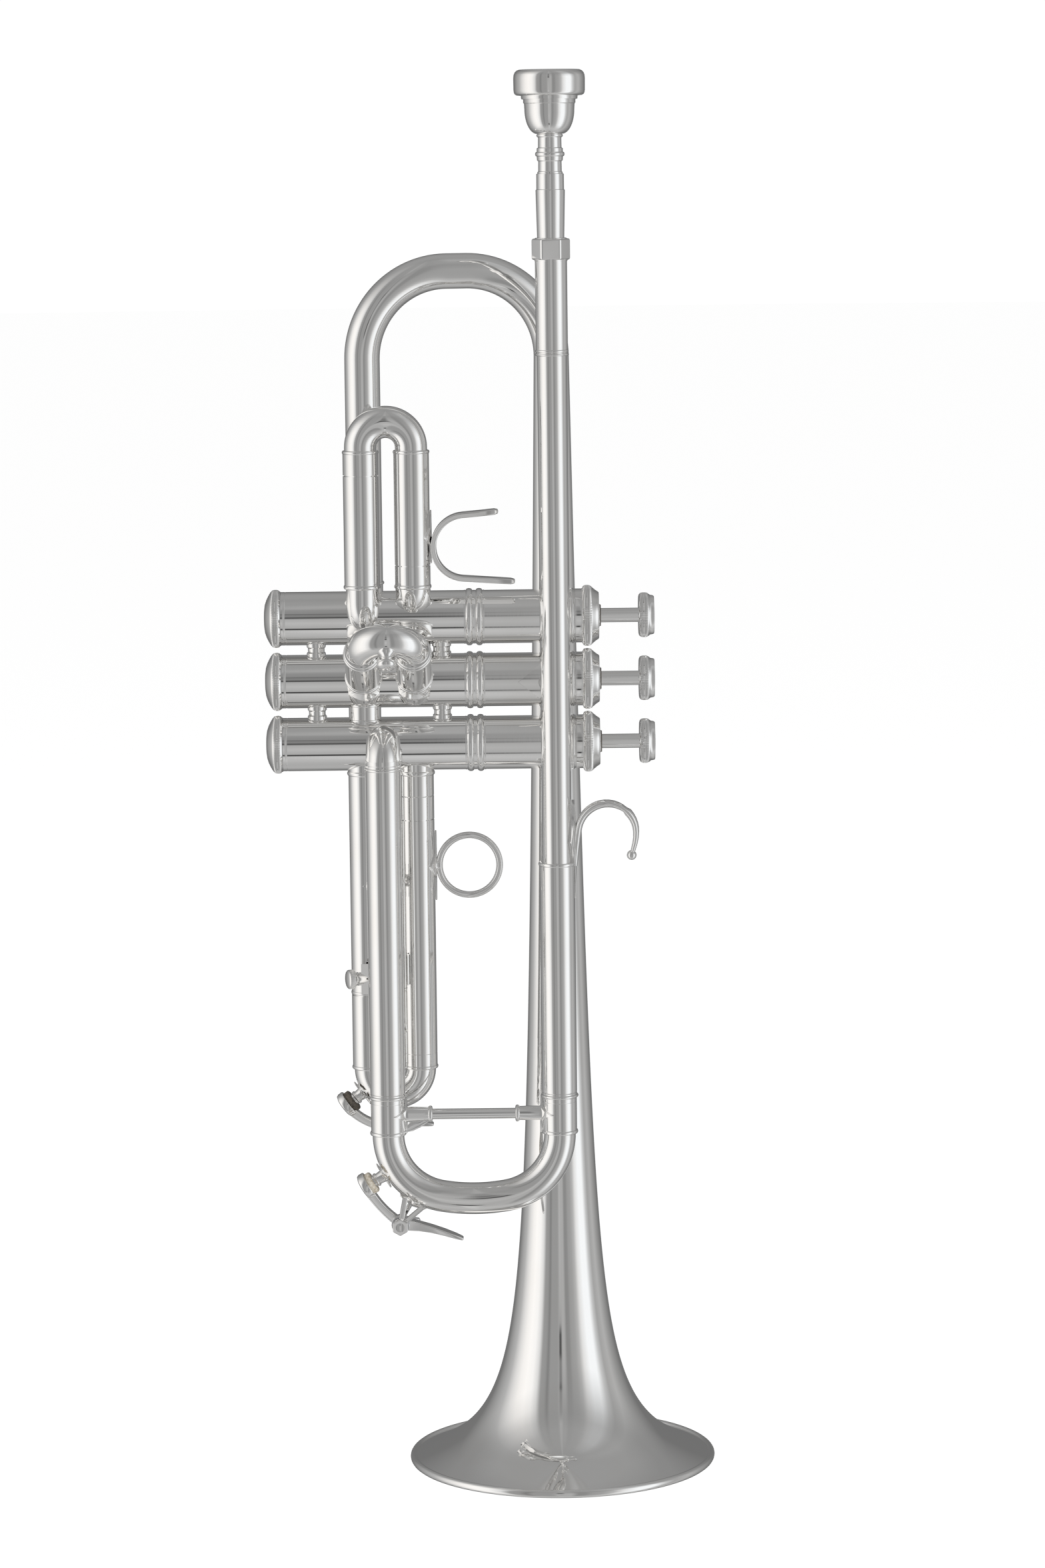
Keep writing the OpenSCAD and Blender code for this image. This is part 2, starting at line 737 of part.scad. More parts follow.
module second_slide_bow() {
    arc_t = second_ring_t + 1.8;
    color("gainsboro") on_second_slide() {
        for (x = leg_xs) translate([x, 0, 0]) {
            tube(14, arc_t, inner_r, bore_r);
            bead(second_ring_t + 0.8, inner_r, 1.2, 0.8, bore_r);
        }
        translate([slide_x, 0, arc_t]) bend(leg_gap / 2, 0, 180, bow_r, bore_r);
    }
}

module second_slide_knob() {
    crown_t = second_ring_t + 1.8 + leg_gap / 2;
    color("silver") on_second_slide() difference() {
        translate([slide_x, 0, crown_t]) rotate([90, 0, 0]) rotate_extrude() polygon([
            [0, 3], [3.2, 3], [3, 6.6], [2.2, 7.2], [2.2, 9.2], [3.4, 9.8], [3.8, 10.8], [3.4, 12], [0, 12.6]
        ]);
        translate([slide_x, 0, crown_t - leg_gap / 2]) solid_bend(leg_gap / 2, 45, 135, bow_r);
    }
}

// ---- Third slide ----

third_line_z = 193.9;
third_sleeve_z = 262.7;
third_ring_z = 165.4;
stop_z = 179.5;
guide_z = 237.5;
nut_z = 259.4;

module third_slide_outer() {
    color("gainsboro") difference() {
        union() {
            translate([leg_xs[0], valve_y, 0]) {
                tube(third_line_z, casing_z[2], outer_r, outer_bore_r);
                bead(third_line_z + 0.6, outer_r, 1.2, 0.2, outer_bore_r);
            }
            translate([leg_xs[1], valve_y, 0]) {
                tube(174, casing_z[2], inner_r, bore_r);
                tube(third_sleeve_z + 0.2, casing_z[2], outer_r, bore_r);
            }
        }
        casing_cut(2);
    }
}

module third_slide_bow() {
    arc_z = third_key[0][2];
    color("gainsboro") {
        translate([leg_xs[0], valve_y, 0]) {
            tube(third_ring_z, 273, inner_r, bore_r);
            tube(third_ring_z, third_line_z - 0.1, outer_r - 0.1, bore_r);
        }
        translate([leg_xs[1], valve_y, 0]) tube(third_ring_z, third_sleeve_z, outer_r, outer_bore_r);
        for (x = leg_xs) translate([x, valve_y, 0]) bead(third_ring_z - 0.7, outer_r - 0.1, 1.4, 0.4, bore_r);
        translate([slide_x, valve_y, arc_z]) bend(leg_gap / 2, 180, 360, bow_r, bore_r);
    }
}

module finger_ring() {
    color("silver") {
        translate([leg_xs[1], valve_y, 244.5]) {
            diamond_flange(outer_r, 0.9, 4.6, 13.8);
            rotate([0, 90, 0]) rod(outer_r + 0.6, outer_r + 2.2, 1.8);
        }
        translate([-34.2, valve_y, 244.5]) rotate([90, 0, 0]) rotate_extrude()
            translate([11.8, 0]) circle(r = 1.3, $fn = 32);
    }
}

module stop_rod() {
    color("silver") {
        difference() {
            union() {
                translate([leg_xs[0], valve_y - 1.6, stop_z - 2]) cube([leg_gap, 3.2, 4]);
                translate([leg_xs[0], valve_y, stop_z]) diamond_flange(outer_r - 0.1, 0.8, 4.8, 4.2);
                translate([leg_xs[1], valve_y, stop_z]) mirror([1, 0, 0]) diamond_flange(outer_r, 0.7, 4.8, 4.2);
            }
            translate([leg_xs[0], valve_y, 0]) rod(stop_z - 9, stop_z + 9, outer_r - 0.1);
            translate([leg_xs[1], valve_y, 0]) rod(stop_z - 9, stop_z + 9, outer_r);
        }
        translate([slide_x, valve_y, 0]) {
            rod(stop_z, nut_z + 3.6, pin_r);
            translate([0, 0, nut_z]) cylinder(h = 1.6, r = 2.2, $fn = 6);
            translate([0, 0, nut_z + 2]) cylinder(h = 1.4, r = 2.2, $fn = 6);
        }
    }
}

module stop_guide() {
    color("silver") difference() {
        union() {
            translate([leg_xs[0] + 4, valve_y - 2.6, guide_z - 2.5]) cube([slide_x - leg_xs[0] - 2, 5.2, 5]);
            translate([leg_xs[0], valve_y, guide_z]) diamond_flange(outer_r, 0.5, 3.5, 6.5);
        }
        translate([leg_xs[0], valve_y, 0]) rod(guide_z - 9, guide_z + 9, outer_r);
        translate([slide_x, valve_y, 0]) rod(guide_z - 9, guide_z + 9, pin_r + 0.3);
    }
}

// ---- Braces and fittings ----

module bell_braces() {
    color("silver") for (z = bell_brace_z) {
        lead_r = z > upper_outer_top_z ? 5.75 : outer_r;
        difference() {
            translate([0, lead_xy[1], z]) rotate([-90, 0, 0]) {
                rod(0, 36, 2.3);
                rod(0, lead_r + 5, 3.2);
            }
            translate(lead_xy) rod(z - 20, z + 20, lead_r);
            bell_cut();
        }
        translate([0, lead_xy[1], z]) rotate([0, 0, 90]) diamond_flange(lead_r, 0.7, 5, 8);
    }
}

module casing_brace() {
    color("silver") {
        difference() {
            translate([-3, valve_y, middle_z]) rotate([90, 0, 0]) rod(casing_r - 2, 18, 3);
            casing_cut(1);
            translate(lead_xy) rod(middle_z - 20, middle_z + 20, 5.75);
        }
        translate([-4.5, valve_y, middle_z]) rotate([0, 90, 0]) rotate([0, 0, -90])
            diamond_flange(casing_r, 0.7, 7.4, 9.8);
    }
}

module outer_slide_brace() {
    from = [leg_xs[0], valve_y];
    reach = tuning_xy - from;
    turn = atan2(reach[1], reach[0]);
    color("silver") translate([from[0], from[1], guide_z]) rotate([0, 0, turn]) {
        difference() {
            rotate([0, 90, 0]) rod(outer_r - 2, norm(reach) - outer_r + 2, 2.6);
            rod(-9, 9, outer_r);
            translate([norm(reach), 0, 0]) rod(-9, 9, outer_r);
        }
        diamond_flange(outer_r, 0.7, 3.8, 6.4);
    }
}

// The thumb screw leans towards the leadpipe side of -X
lyre_at = [-73.6, -31.6, 201.8];
lyre_turn = 200;

module lyre_box() {
    color("silver") difference() {
        translate(lyre_at) {
            translate([-3.2, -3, -6]) cube([6.4, 8, 12]);
            rotate([0, 0, lyre_turn]) rotate([0, 90, 0]) rod(0, 5, 2.7);
        }
        translate([leg_xs[0], valve_y, 0]) rod(180, 220, outer_r);
        translate(tuning_xy) rod(180, 220, outer_r);
        translate(lyre_at) translate([-1.3, -2, -7]) cube([2.6, 4, 14]);
        translate(lyre_at) rotate([0, 0, lyre_turn]) rotate([0, 90, 0]) rod(0, 9, 1.55);
    }
}

module lyre_screw() {
    color("silver") translate(lyre_at) rotate([0, 0, lyre_turn]) rotate([0, 90, 0]) {
        rod(1.6, 6, 1.5);
        rotate_extrude() polygon([
            [0, 5.4], [2.2, 5.4], [2.2, 6.2], [3.6, 6.4], [3.8, 6.8], [3.8, 8.6], [3.4, 9.4], [0, 9.9]
        ]);
    }
}

// ---- Every node ----

module piston_1() { piston(0); }
module piston_2() { piston(1); }
module piston_3() { piston(2); }
module stem_1() { stem(0); }
module stem_2() { stem(1); }
module stem_3() { stem(2); }
module button_1() { button(0); }
module button_2() { button(1); }
module button_3() { button(2); }
module pearl_1() { pearl(0); }
module pearl_2() { pearl(1); }
module pearl_3() { pearl(2); }
module spring_1() { spring(0); }
module spring_2() { spring(1); }
module spring_3() { spring(2); }

bell_flare();
rim_wire();
bell_bow();
receiver();
leadpipe();
mouthpiece();
tuning_outer_upper();
tuning_outer_lower();
third_knuckle();
finger_hook();
casing_1();
casing_2();
casing_3();
bottom_caps();
top_caps();
casing_spacers();
crossover_tubes();
first_slide_outer();
second_slide_outer();
third_slide_outer();
bell_braces();
casing_brace();
outer_slide_brace();
stop_guide();
lyre_box();
lyre_screw();
valve_guides();
cap_felts();
piston_1();
stem_1();
button_1();
pearl_1();
spring_1();
piston_2();
stem_2();
button_2();
pearl_2();
spring_2();
piston_3();
stem_3();
button_3();
pearl_3();
spring_3();
tuning_bow();
tuning_brace();
tuning_key_saddle();
tuning_key_lever();
tuning_key_cork();
first_slide_bow();
thumb_saddle();
second_slide_bow();
second_slide_knob();
third_slide_bow();
finger_ring();
stop_rod();
third_key_saddle();
third_key_lever();
third_key_cork();
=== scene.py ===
import math

import bpy
from mathutils import Matrix, Quaternion, Vector


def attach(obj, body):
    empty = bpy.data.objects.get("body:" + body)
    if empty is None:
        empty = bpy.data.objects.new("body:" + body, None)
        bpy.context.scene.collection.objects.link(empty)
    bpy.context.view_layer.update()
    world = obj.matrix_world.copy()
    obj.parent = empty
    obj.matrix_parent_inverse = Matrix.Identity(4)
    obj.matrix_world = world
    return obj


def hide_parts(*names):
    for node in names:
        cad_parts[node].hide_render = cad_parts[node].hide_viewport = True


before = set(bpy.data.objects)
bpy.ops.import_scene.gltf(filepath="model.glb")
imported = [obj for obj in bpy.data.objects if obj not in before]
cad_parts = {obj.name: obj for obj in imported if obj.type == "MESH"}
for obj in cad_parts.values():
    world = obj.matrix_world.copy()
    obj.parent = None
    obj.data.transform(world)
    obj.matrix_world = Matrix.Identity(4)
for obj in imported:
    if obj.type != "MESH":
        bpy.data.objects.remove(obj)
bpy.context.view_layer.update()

MM = 0.001
TIP = 0.02  # the radius at which a turned point is closed

# Where the main tubes stand, in millimetres
LEAD = (0, -40)
TUNING = (-67, -40)
TAIL = (-73.4, -16.5)
VALVE_Y = -21
CASING_Z = (342.0, 317.35, 292.7)
LEGS = (-74.2, -54.6)  # x of the two legs of the three valve slides
SLIDE_X = sum(LEGS) / 2
LEG_GAP = LEGS[1] - LEGS[0]
FIRST_Y = -31
SECOND_TILT = math.radians(33)
SECOND_BASE = (0, VALVE_Y, 313.35)
SECOND_OUT = Vector((0, -math.cos(SECOND_TILT), math.sin(SECOND_TILT)))
SECOND_DOWN = Vector((0, -math.sin(SECOND_TILT), -math.cos(SECOND_TILT)))
BRACE_HEIGHTS = (395, 200)

# How thick the tubes are, as radii in millimetres
OUTER_R, OUTER_BORE, INNER_R, BORE, BOW_R, BOW_WALL = 6.85, 6.33, 6.28, 5.83, 6.2, 0.37
FERRULE_BORE = 5.95
CASING_R = 10.4
LEAD_R = 5.76
MOUTHPIPE_TOP = 247  # above it the leadpipe is bare, and below it the tuning slide's outer tube is round it

UP, DOWN, RIGHT, LEFT = (0, 0, 1), (0, 0, -1), (1, 0, 0), (-1, 0, 0)
FLATS_FORWARD = math.radians(30)  # the roll that faces a hexagon's flats to the front


# ---- Workshop tools ----

def clear():
    bpy.ops.object.select_all(action="DESELECT")


def take(piece):
    clear()
    piece.select_set(True)
    bpy.context.view_layer.objects.active = piece


def new_ring(name, sides, filled, turn=0.0):
    """A ring of radius 1 mm about the origin, open for editing."""
    clear()
    bpy.ops.mesh.primitive_circle_add(
        vertices=sides, radius=MM, fill_type="NGON" if filled else "NOTHING", rotation=(0, 0, turn)
    )
    piece = bpy.context.object
    piece.name = name
    bpy.ops.object.transform_apply(location=True, rotation=True, scale=True)
    bpy.ops.object.mode_set(mode="EDIT")
    return piece


def draw_out(step):
    bpy.ops.mesh.extrude_region_move(TRANSFORM_OT_translate={"value": tuple(step)})


def scale_about(centre, factors):
    bpy.ops.transform.resize(value=factors, center_override=tuple(centre))


def tidy_mesh():
    """Merges doubles and points every face outwards, then leaves edit mode."""
    bpy.ops.mesh.select_all(action="SELECT")
    bpy.ops.mesh.remove_doubles(threshold=2e-7)
    bpy.ops.mesh.normals_make_consistent(inside=False)
    bpy.ops.object.mode_set(mode="OBJECT")


def settle(piece, at=(0, 0, 0), axis=UP, roll=0.0):
    """Puts a piece made along +Z at the origin where it belongs, and applies it."""
    turn = Vector((0, 0, 1)).rotation_difference(Vector(axis)) @ Quaternion((0, 0, 1), roll)
    piece.matrix_world = Matrix.Translation(Vector(at) * MM) @ turn.to_matrix().to_4x4()
    take(piece)
    bpy.ops.object.transform_apply(location=True, rotation=True, scale=True)
    return piece


def apply_modifier(piece, kind, **settings):
    take(piece)
    mod = piece.modifiers.new(kind.title(), kind)
    for key, value in settings.items():
        setattr(mod, key, value)
    bpy.ops.object.modifier_apply(modifier=mod.name)


def turned(name, outline, at=(0, 0, 0), axis=UP, sides=64):
    """A piece off the lathe, from (height, radius) pairs. An outline that ends where it began is hollow."""
    hollow = outline[0] == outline[-1]
    high, wide = outline[0]
    wide = max(wide, TIP)
    piece = new_ring(name, sides, not hollow)
    scale_about((0, 0, 0), (wide, wide, wide))
    bpy.ops.transform.translate(value=(0, 0, high * MM))
    for h, r in outline[1:]:
        r = max(r, TIP)
        draw_out((0, 0, (h - high) * MM))
        if r != wide:
            scale_about((0, 0, h * MM), (r / wide, r / wide, 1))
        high, wide = h, r
    tidy_mesh()
    return settle(piece, at, axis)


def seated(piece, valve):
    """Cuts away what would stand inside a valve casing, so that the piece sits in its wall."""
    drum = turned(
        "drum", [(-112, CASING_R - 0.4), (12, CASING_R - 0.4)], (0, VALVE_Y, CASING_Z[valve]), RIGHT, 96
    )
    apply_modifier(piece, "BOOLEAN", object=drum, solver="EXACT")
    bpy.data.objects.remove(drum)
    return piece


def bulge(h, r, height, proud, steps=6):
    """A half-round bead on an outline."""
    line = []
    for k in range(steps + 1):
        a = math.pi * (k / steps - 0.5)
        line.append((h + height / 2 * math.sin(a), r + proud * math.cos(a)))
    return line


def groove(h, r, height=0.5, depth=0.18):
    """A fine seam line cut round a tube."""
    return [(h - height / 2, r), (h, r - depth), (h + height / 2, r)]


def walls(low, high, outer, inner, *details):
    """The outline of a tube, with beads and grooves in order of height."""
    line = [(low, inner), (low, outer)]
    for detail in details:
        line += detail
    return line + [(high, outer), (high, inner), (low, inner)]


def ring(middle, radius, height, proud, reach, bore, at, axis=UP):
    """A collar with a half-round bead, which reaches so far below and above its middle."""
    low, high = middle - reach[0], middle + reach[1]
    outline = [(low, bore)] + bulge(middle, radius, height, proud, 8) + [(high, bore), (low, bore)]
    return turned("ring", outline, at, axis)


def inner_leg(low, high, at, axis=UP):
    """The inner tube of a slide, which runs in an outer one."""
    return turned("inner", walls(low, high, INNER_R, BORE), at, axis, 48)


def slide_bow(start, heading, run):
    """The half circle that joins the two legs of a valve slide."""
    moves = [("run", run), ("bend", RIGHT, LEG_GAP / 2, 180, 44), ("run", run)]
    return piped("bow", start, heading, BOW_R, moves, BOW_WALL, 72)


def piped(name, start, heading, radius, moves, wall=0.45, sides=48):
    """A bent tube: runs and bends after one another, then its wall."""
    at, ahead = Vector(start) * MM, Vector(heading).normalized()
    piece = new_ring(name, sides, wall is None)
    bpy.ops.object.mode_set(mode="OBJECT")
    piece.matrix_world = (
        Matrix.Translation(at) @ ahead.to_track_quat("Z", "Y").to_matrix().to_4x4()
        @ Matrix.Scale(radius, 4)
    )
    take(piece)
    bpy.ops.object.transform_apply(location=True, rotation=True, scale=True)
    bpy.ops.object.mode_set(mode="EDIT")
    bpy.ops.mesh.select_all(action="SELECT")
    for move in moves:
        if move[0] == "run":
            step = ahead * move[1] * MM
            draw_out(step)
            at = at + step
        else:
            _, towards, bend_r, angle, steps = move
            towards = Vector(towards)
            centre = at + towards * bend_r * MM
            pivot = ahead.cross(towards)
            bpy.ops.mesh.spin(
                steps=steps, angle=-math.radians(angle), center=tuple(centre), axis=tuple(pivot)
            )
            turn = Matrix.Rotation(math.radians(angle), 3, pivot)
            at = centre + turn @ (at - centre)
            ahead = turn @ ahead
    tidy_mesh()
    if wall is not None:
        apply_modifier(piece, "SOLIDIFY", thickness=wall * MM, offset=-1)
    return piece


def swept(name, path, sizes, at=(0, 0, 0), sides=24, axis=UP, roll=0.0):
    """A bar bent in the XZ plane. Sizes are (thickness, width across) at each point of the path."""
    square = sides == 4
    piece = new_ring(name, sides, True, math.pi / 4 if square else 0)
    full = math.sqrt(2) if square else 1.0
    points = [Vector((x, 0, z)) * MM for x, z in path]
    heads = [
        (points[min(k + 1, len(points) - 1)] - points[max(k - 1, 0)]).normalized()
        for k in range(len(points))
    ]
    thick, wide = sizes[0]
    scale_about((0, 0, 0), (thick / 2 * full, wide / 2 * full, 1))
    bearing = math.atan2(heads[0].x, heads[0].z)
    bpy.ops.transform.rotate(value=-bearing, orient_axis="Y", center_override=(0, 0, 0))
    bpy.ops.transform.translate(value=tuple(points[0]))
    for k in range(1, len(points)):
        draw_out(points[k] - points[k - 1])
        now = math.atan2(heads[k].x, heads[k].z)
        swing = (now - bearing + math.pi) % (2 * math.pi) - math.pi
        bpy.ops.transform.rotate(value=-swing, orient_axis="Y", center_override=tuple(points[k]))
        t, w = sizes[k] if len(sizes) > 1 else sizes[0]
        scale_about(points[k], (t / thick, w / wide, t / thick))
        thick, wide, bearing = t, w, now
    tidy_mesh()
    return settle(piece, at, axis, roll)


def arc(x, z, r, start, end, steps):
    """Points of an arc in the XZ plane, its angles counted from +X towards +Z."""
    turns = [math.radians(start + (end - start) * k / steps) for k in range(steps + 1)]
    return [(x + r * math.cos(a), z + r * math.sin(a)) for a in turns]


def patch(name, at, out, along, radius, thick, wide, tall):
    """A diamond plate that wraps a tube. It is cut from a sleeve by four planes."""
    out, along = Vector(out).normalized(), Vector(along).normalized()
    side = along.cross(out)
    piece = new_ring(name, 96, False)
    scale_about((0, 0, 0), (radius, radius, 1))
    bpy.ops.transform.translate(value=(0, 0, -(tall + 1) * MM))
    draw_out((0, 0, 2 * (tall + 1) * MM))
    bpy.ops.object.mode_set(mode="OBJECT")
    settle(piece, at, along)
    bpy.ops.object.mode_set(mode="EDIT")
    centre = Vector(at) * MM
    cuts = [(centre, -out)]
    for a in (-1, 1):
        for b in (-1, 1):
            cuts.append((centre + side * a * wide * MM, (side * a * tall + along * b * wide).normalized()))
    for spot, normal in cuts:
        bpy.ops.mesh.select_all(action="SELECT")
        bpy.ops.mesh.bisect(
            plane_co=tuple(spot), plane_no=tuple(normal), clear_outer=True, threshold=1e-7
        )
    tidy_mesh()
    low = piece.data.polygons[0]
    if low.normal.dot(low.center - centre) < 0:
        take(piece)
        bpy.ops.object.mode_set(mode="EDIT")
        bpy.ops.mesh.select_all(action="SELECT")
        bpy.ops.mesh.flip_normals()
        bpy.ops.object.mode_set(mode="OBJECT")
    apply_modifier(piece, "SOLIDIFY", thickness=thick * MM, offset=1)
    return piece


def star(name, at, out, along, radius, thick, wide, tall, edge=0.12):
    """A diamond with hollowed sides, of one broad and one tall plate with broken edges."""
    broad = patch(name, at, out, along, radius, thick, wide, tall * 0.5)
    slim = patch(name, at, out, along, radius, thick * 0.97, wide * 0.5, tall)
    return [soften(broad, edge), soften(slim, edge)]


def knurl(piece, at, axis, low, high, teeth, depth):
    """Pushes in every second line of points of a band, so that it grips."""
    axis, centre = Vector(axis).normalized(), Vector(at) * MM
    across = axis.orthogonal().normalized()
    other = axis.cross(across)
    take(piece)
    bpy.ops.object.mode_set(mode="EDIT")
    bpy.ops.mesh.select_mode(type="VERT")
    bpy.ops.mesh.select_all(action="DESELECT")
    bpy.ops.object.mode_set(mode="OBJECT")
    first = None
    for v in piece.data.vertices:
        d = v.co - centre
        if low - 1e-3 <= d.dot(axis) / MM <= high + 1e-3:
            a = math.atan2(d.dot(other), d.dot(across))
            first = a if first is None else first
            v.select = round((a - first) * teeth / math.pi) % 2 == 0
    bpy.ops.object.mode_set(mode="EDIT")
    bpy.ops.transform.shrink_fatten(value=-depth * MM)
    bpy.ops.object.mode_set(mode="OBJECT")


def joined(name, *parts):
    """Several shells as one piece."""
    clear()
    for part in parts:
        part.select_set(True)
    bpy.context.view_layer.objects.active = parts[0]
    if len(parts) > 1:
        bpy.ops.object.join()
    parts[0].name = name
    parts[0].data.name = name
    return parts[0]


def copied(piece, shift):
    take(piece)
    bpy.ops.object.duplicate(linked=False)
    twin = bpy.context.object
    bpy.ops.transform.translate(value=tuple(Vector(shift) * MM))
    bpy.ops.object.transform_apply(location=True, rotation=True, scale=True)
    return twin


def soften(piece, width=0.12, segments=2, angle=38):
    """Breaks the sharp edges, as polishing does."""
    apply_modifier(
        piece, "BEVEL", width=width * MM, segments=segments, limit_method="ANGLE",
        angle_limit=math.radians(angle), use_clamp_overlap=True,
    )
    return piece


def hand_over(piece, body, finish, nodes, smooth=35):
    """Shades a finished piece, gives it its material and puts it on its body."""
    take(piece)
    bpy.ops.object.shade_smooth_by_angle(angle=math.radians(smooth))
    apply_modifier(piece, "WEIGHTED_NORMAL", keep_sharp=True, weight=80)
    piece.data.materials.clear()
    piece.data.materials.append(FINISHES[finish])
    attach(piece, body)
    if nodes:
        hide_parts(*nodes)
    return piece


def silver(name, parts, body="instrument", smooth=35):
    """Joins the shells of a silver-plated piece, which stands for the CAD node of its name."""
    return hand_over(joined(name, *parts), body, "silver_plate", (name,), smooth)


# ---- Finishes ----

def nodes_of(material):
    material.use_nodes = True
    tree = material.node_tree
    return tree, tree.nodes["Principled BSDF"]


def wire(tree, source, out, target, into):
    tree.links.new(source.outputs[out], target.inputs[into])


def noise(tree, scale, detail=3.0, stretch=(1, 1, 1)):
    """Noise on the piece's own coordinates."""
    place = tree.nodes.new("ShaderNodeTexCoord")
    mapping = tree.nodes.new("ShaderNodeMapping")
    mapping.inputs["Scale"].default_value = stretch
    wire(tree, place, "Object", mapping, "Vector")
    texture = tree.nodes.new("ShaderNodeTexNoise")
    texture.inputs["Scale"].default_value = scale
    texture.inputs["Detail"].default_value = detail
    wire(tree, mapping, "Vector", texture, "Vector")
    return texture


def ranged(tree, source, out, low, high, start=0.3, end=0.7):
    rank = tree.nodes.new("ShaderNodeMapRange")
    rank.inputs["From Min"].default_value = start
    rank.inputs["From Max"].default_value = end
    rank.inputs["To Min"].default_value = low
    rank.inputs["To Max"].default_value = high
    wire(tree, source, out, rank, "Value")
    return rank


def tinted(tree, source, out, colours, stops):
    ramp = tree.nodes.new("ShaderNodeValToRGB")
    marks = ramp.color_ramp.elements
    while len(marks) < len(colours):
        marks.new(0.5)
    for mark, stop, colour in zip(marks, stops, colours):
        mark.position = stop
        mark.color = (*colour, 1)
    wire(tree, source, out, ramp, "Fac")
    return ramp


def bumped(tree, shader, source, out, strength, distance):
    bump = tree.nodes.new("ShaderNodeBump")
    bump.inputs["Strength"].default_value = strength
    bump.inputs["Distance"].default_value = distance
    wire(tree, source, out, bump, "Height")
    wire(tree, bump, "Normal", shader, "Normal")


def polished_silver(name, bright, dull, rough_low, rough_high, ripple):
    material = bpy.data.materials.new(name)
    tree, shader = nodes_of(material)
    shader.inputs["Metallic"].default_value = 1.0
    cloud = noise(tree, 38, 4)
    wire(
        tree, tinted(tree, cloud, "Fac", (dull, bright, bright), (0.3, 0.52, 1.0)), "Color", shader,
        "Base Color"
    )
    smear = noise(tree, 190, 5, (1, 1, 0.25))
    wire(tree, ranged(tree, smear, "Fac", rough_low, rough_high), "Result", shader, "Roughness")
    hand = noise(tree, 900, 3, (1, 1, 0.12))
    bumped(tree, shader, hand, "Fac", ripple, 0.00002)
    return material


def pearl_shell():
    material = bpy.data.materials.new("pearl_shell")
    tree, shader = nodes_of(material)
    sheen = noise(tree, 160, 2, (1, 0.35, 1))
    colours = ((0.86, 0.83, 0.80), (0.95, 0.94, 0.92), (0.84, 0.90, 0.88), (0.93, 0.87, 0.88))
    wire(tree, tinted(tree, sheen, "Fac", colours, (0.3, 0.45, 0.58, 0.7)), "Color", shader, "Base Color")
    grain = noise(tree, 420, 4)
    wire(tree, ranged(tree, grain, "Fac", 0.12, 0.26), "Result", shader, "Roughness")
    shader.inputs["Coat Weight"].default_value = 0.6
    shader.inputs["Coat Roughness"].default_value = 0.05
    return material


def soft_stuff(name, dark, light, scale, rough, depth, stretch=(1, 1, 1), sheen=0.0):
    """Cork, felt or rubber: a grained colour, a matt skin and a fine bump."""
    material = bpy.data.materials.new(name)
    tree, shader = nodes_of(material)
    grain = noise(tree, scale, 8, stretch)
    wire(tree, tinted(tree, grain, "Fac", (dark, light), (0.36, 0.62)), "Color", shader, "Base Color")
    shader.inputs["Sheen Weight"].default_value = sheen
    fine = noise(tree, scale * 3, 6)
    wire(tree, ranged(tree, fine, "Fac", rough - 0.08, rough + 0.08), "Result", shader, "Roughness")
    bumped(tree, shader, grain, "Fac", 0.6, depth)
    return material


SILVER = ((0.968, 0.962, 0.951), (0.950, 0.940, 0.922))
MONEL = ((0.80, 0.79, 0.77), (0.72, 0.70, 0.67))
SPRING_WIRE = ((0.78, 0.78, 0.79), (0.66, 0.66, 0.67))
FELT = ((0.80, 0.78, 0.72), (0.93, 0.92, 0.88))
CORK = ((0.52, 0.45, 0.35), (0.78, 0.73, 0.63))
RUBBER = ((0.075, 0.062, 0.050), (0.15, 0.13, 0.105))
NYLON = ((0.84, 0.80, 0.68), (0.90, 0.87, 0.77))
FINISHES = {
    "silver_plate": polished_silver("polished_silver", *SILVER, 0.02, 0.055, 0.08),
    "monel": polished_silver("lapped_monel", *MONEL, 0.12, 0.24, 0.25),
    "spring_steel": polished_silver("drawn_spring_wire", *SPRING_WIRE, 0.16, 0.30, 0.30),
    "pearl": pearl_shell(),
    "felt": soft_stuff("pressed_felt", *FELT, 1500, 0.86, 0.0002, sheen=0.4),
    "cork": soft_stuff("pressed_cork", *CORK, 900, 0.72, 0.00012),
    "neoprene": soft_stuff("key_rubber", *RUBBER, 1400, 0.6, 0.00005),
    "guide_plastic": soft_stuff("guide_nylon", *NYLON, 700, 0.42, 0.00002),
}


# ---- Bell ----

FLARE_START = 15.16


def flare_r(z):
    """The bell's outside radius at a height: a steep flare on a slow taper."""
    flare = 1244 / (z + FLARE_START) ** 1.1325
    return flare + 10.97 - 0.01203 * z


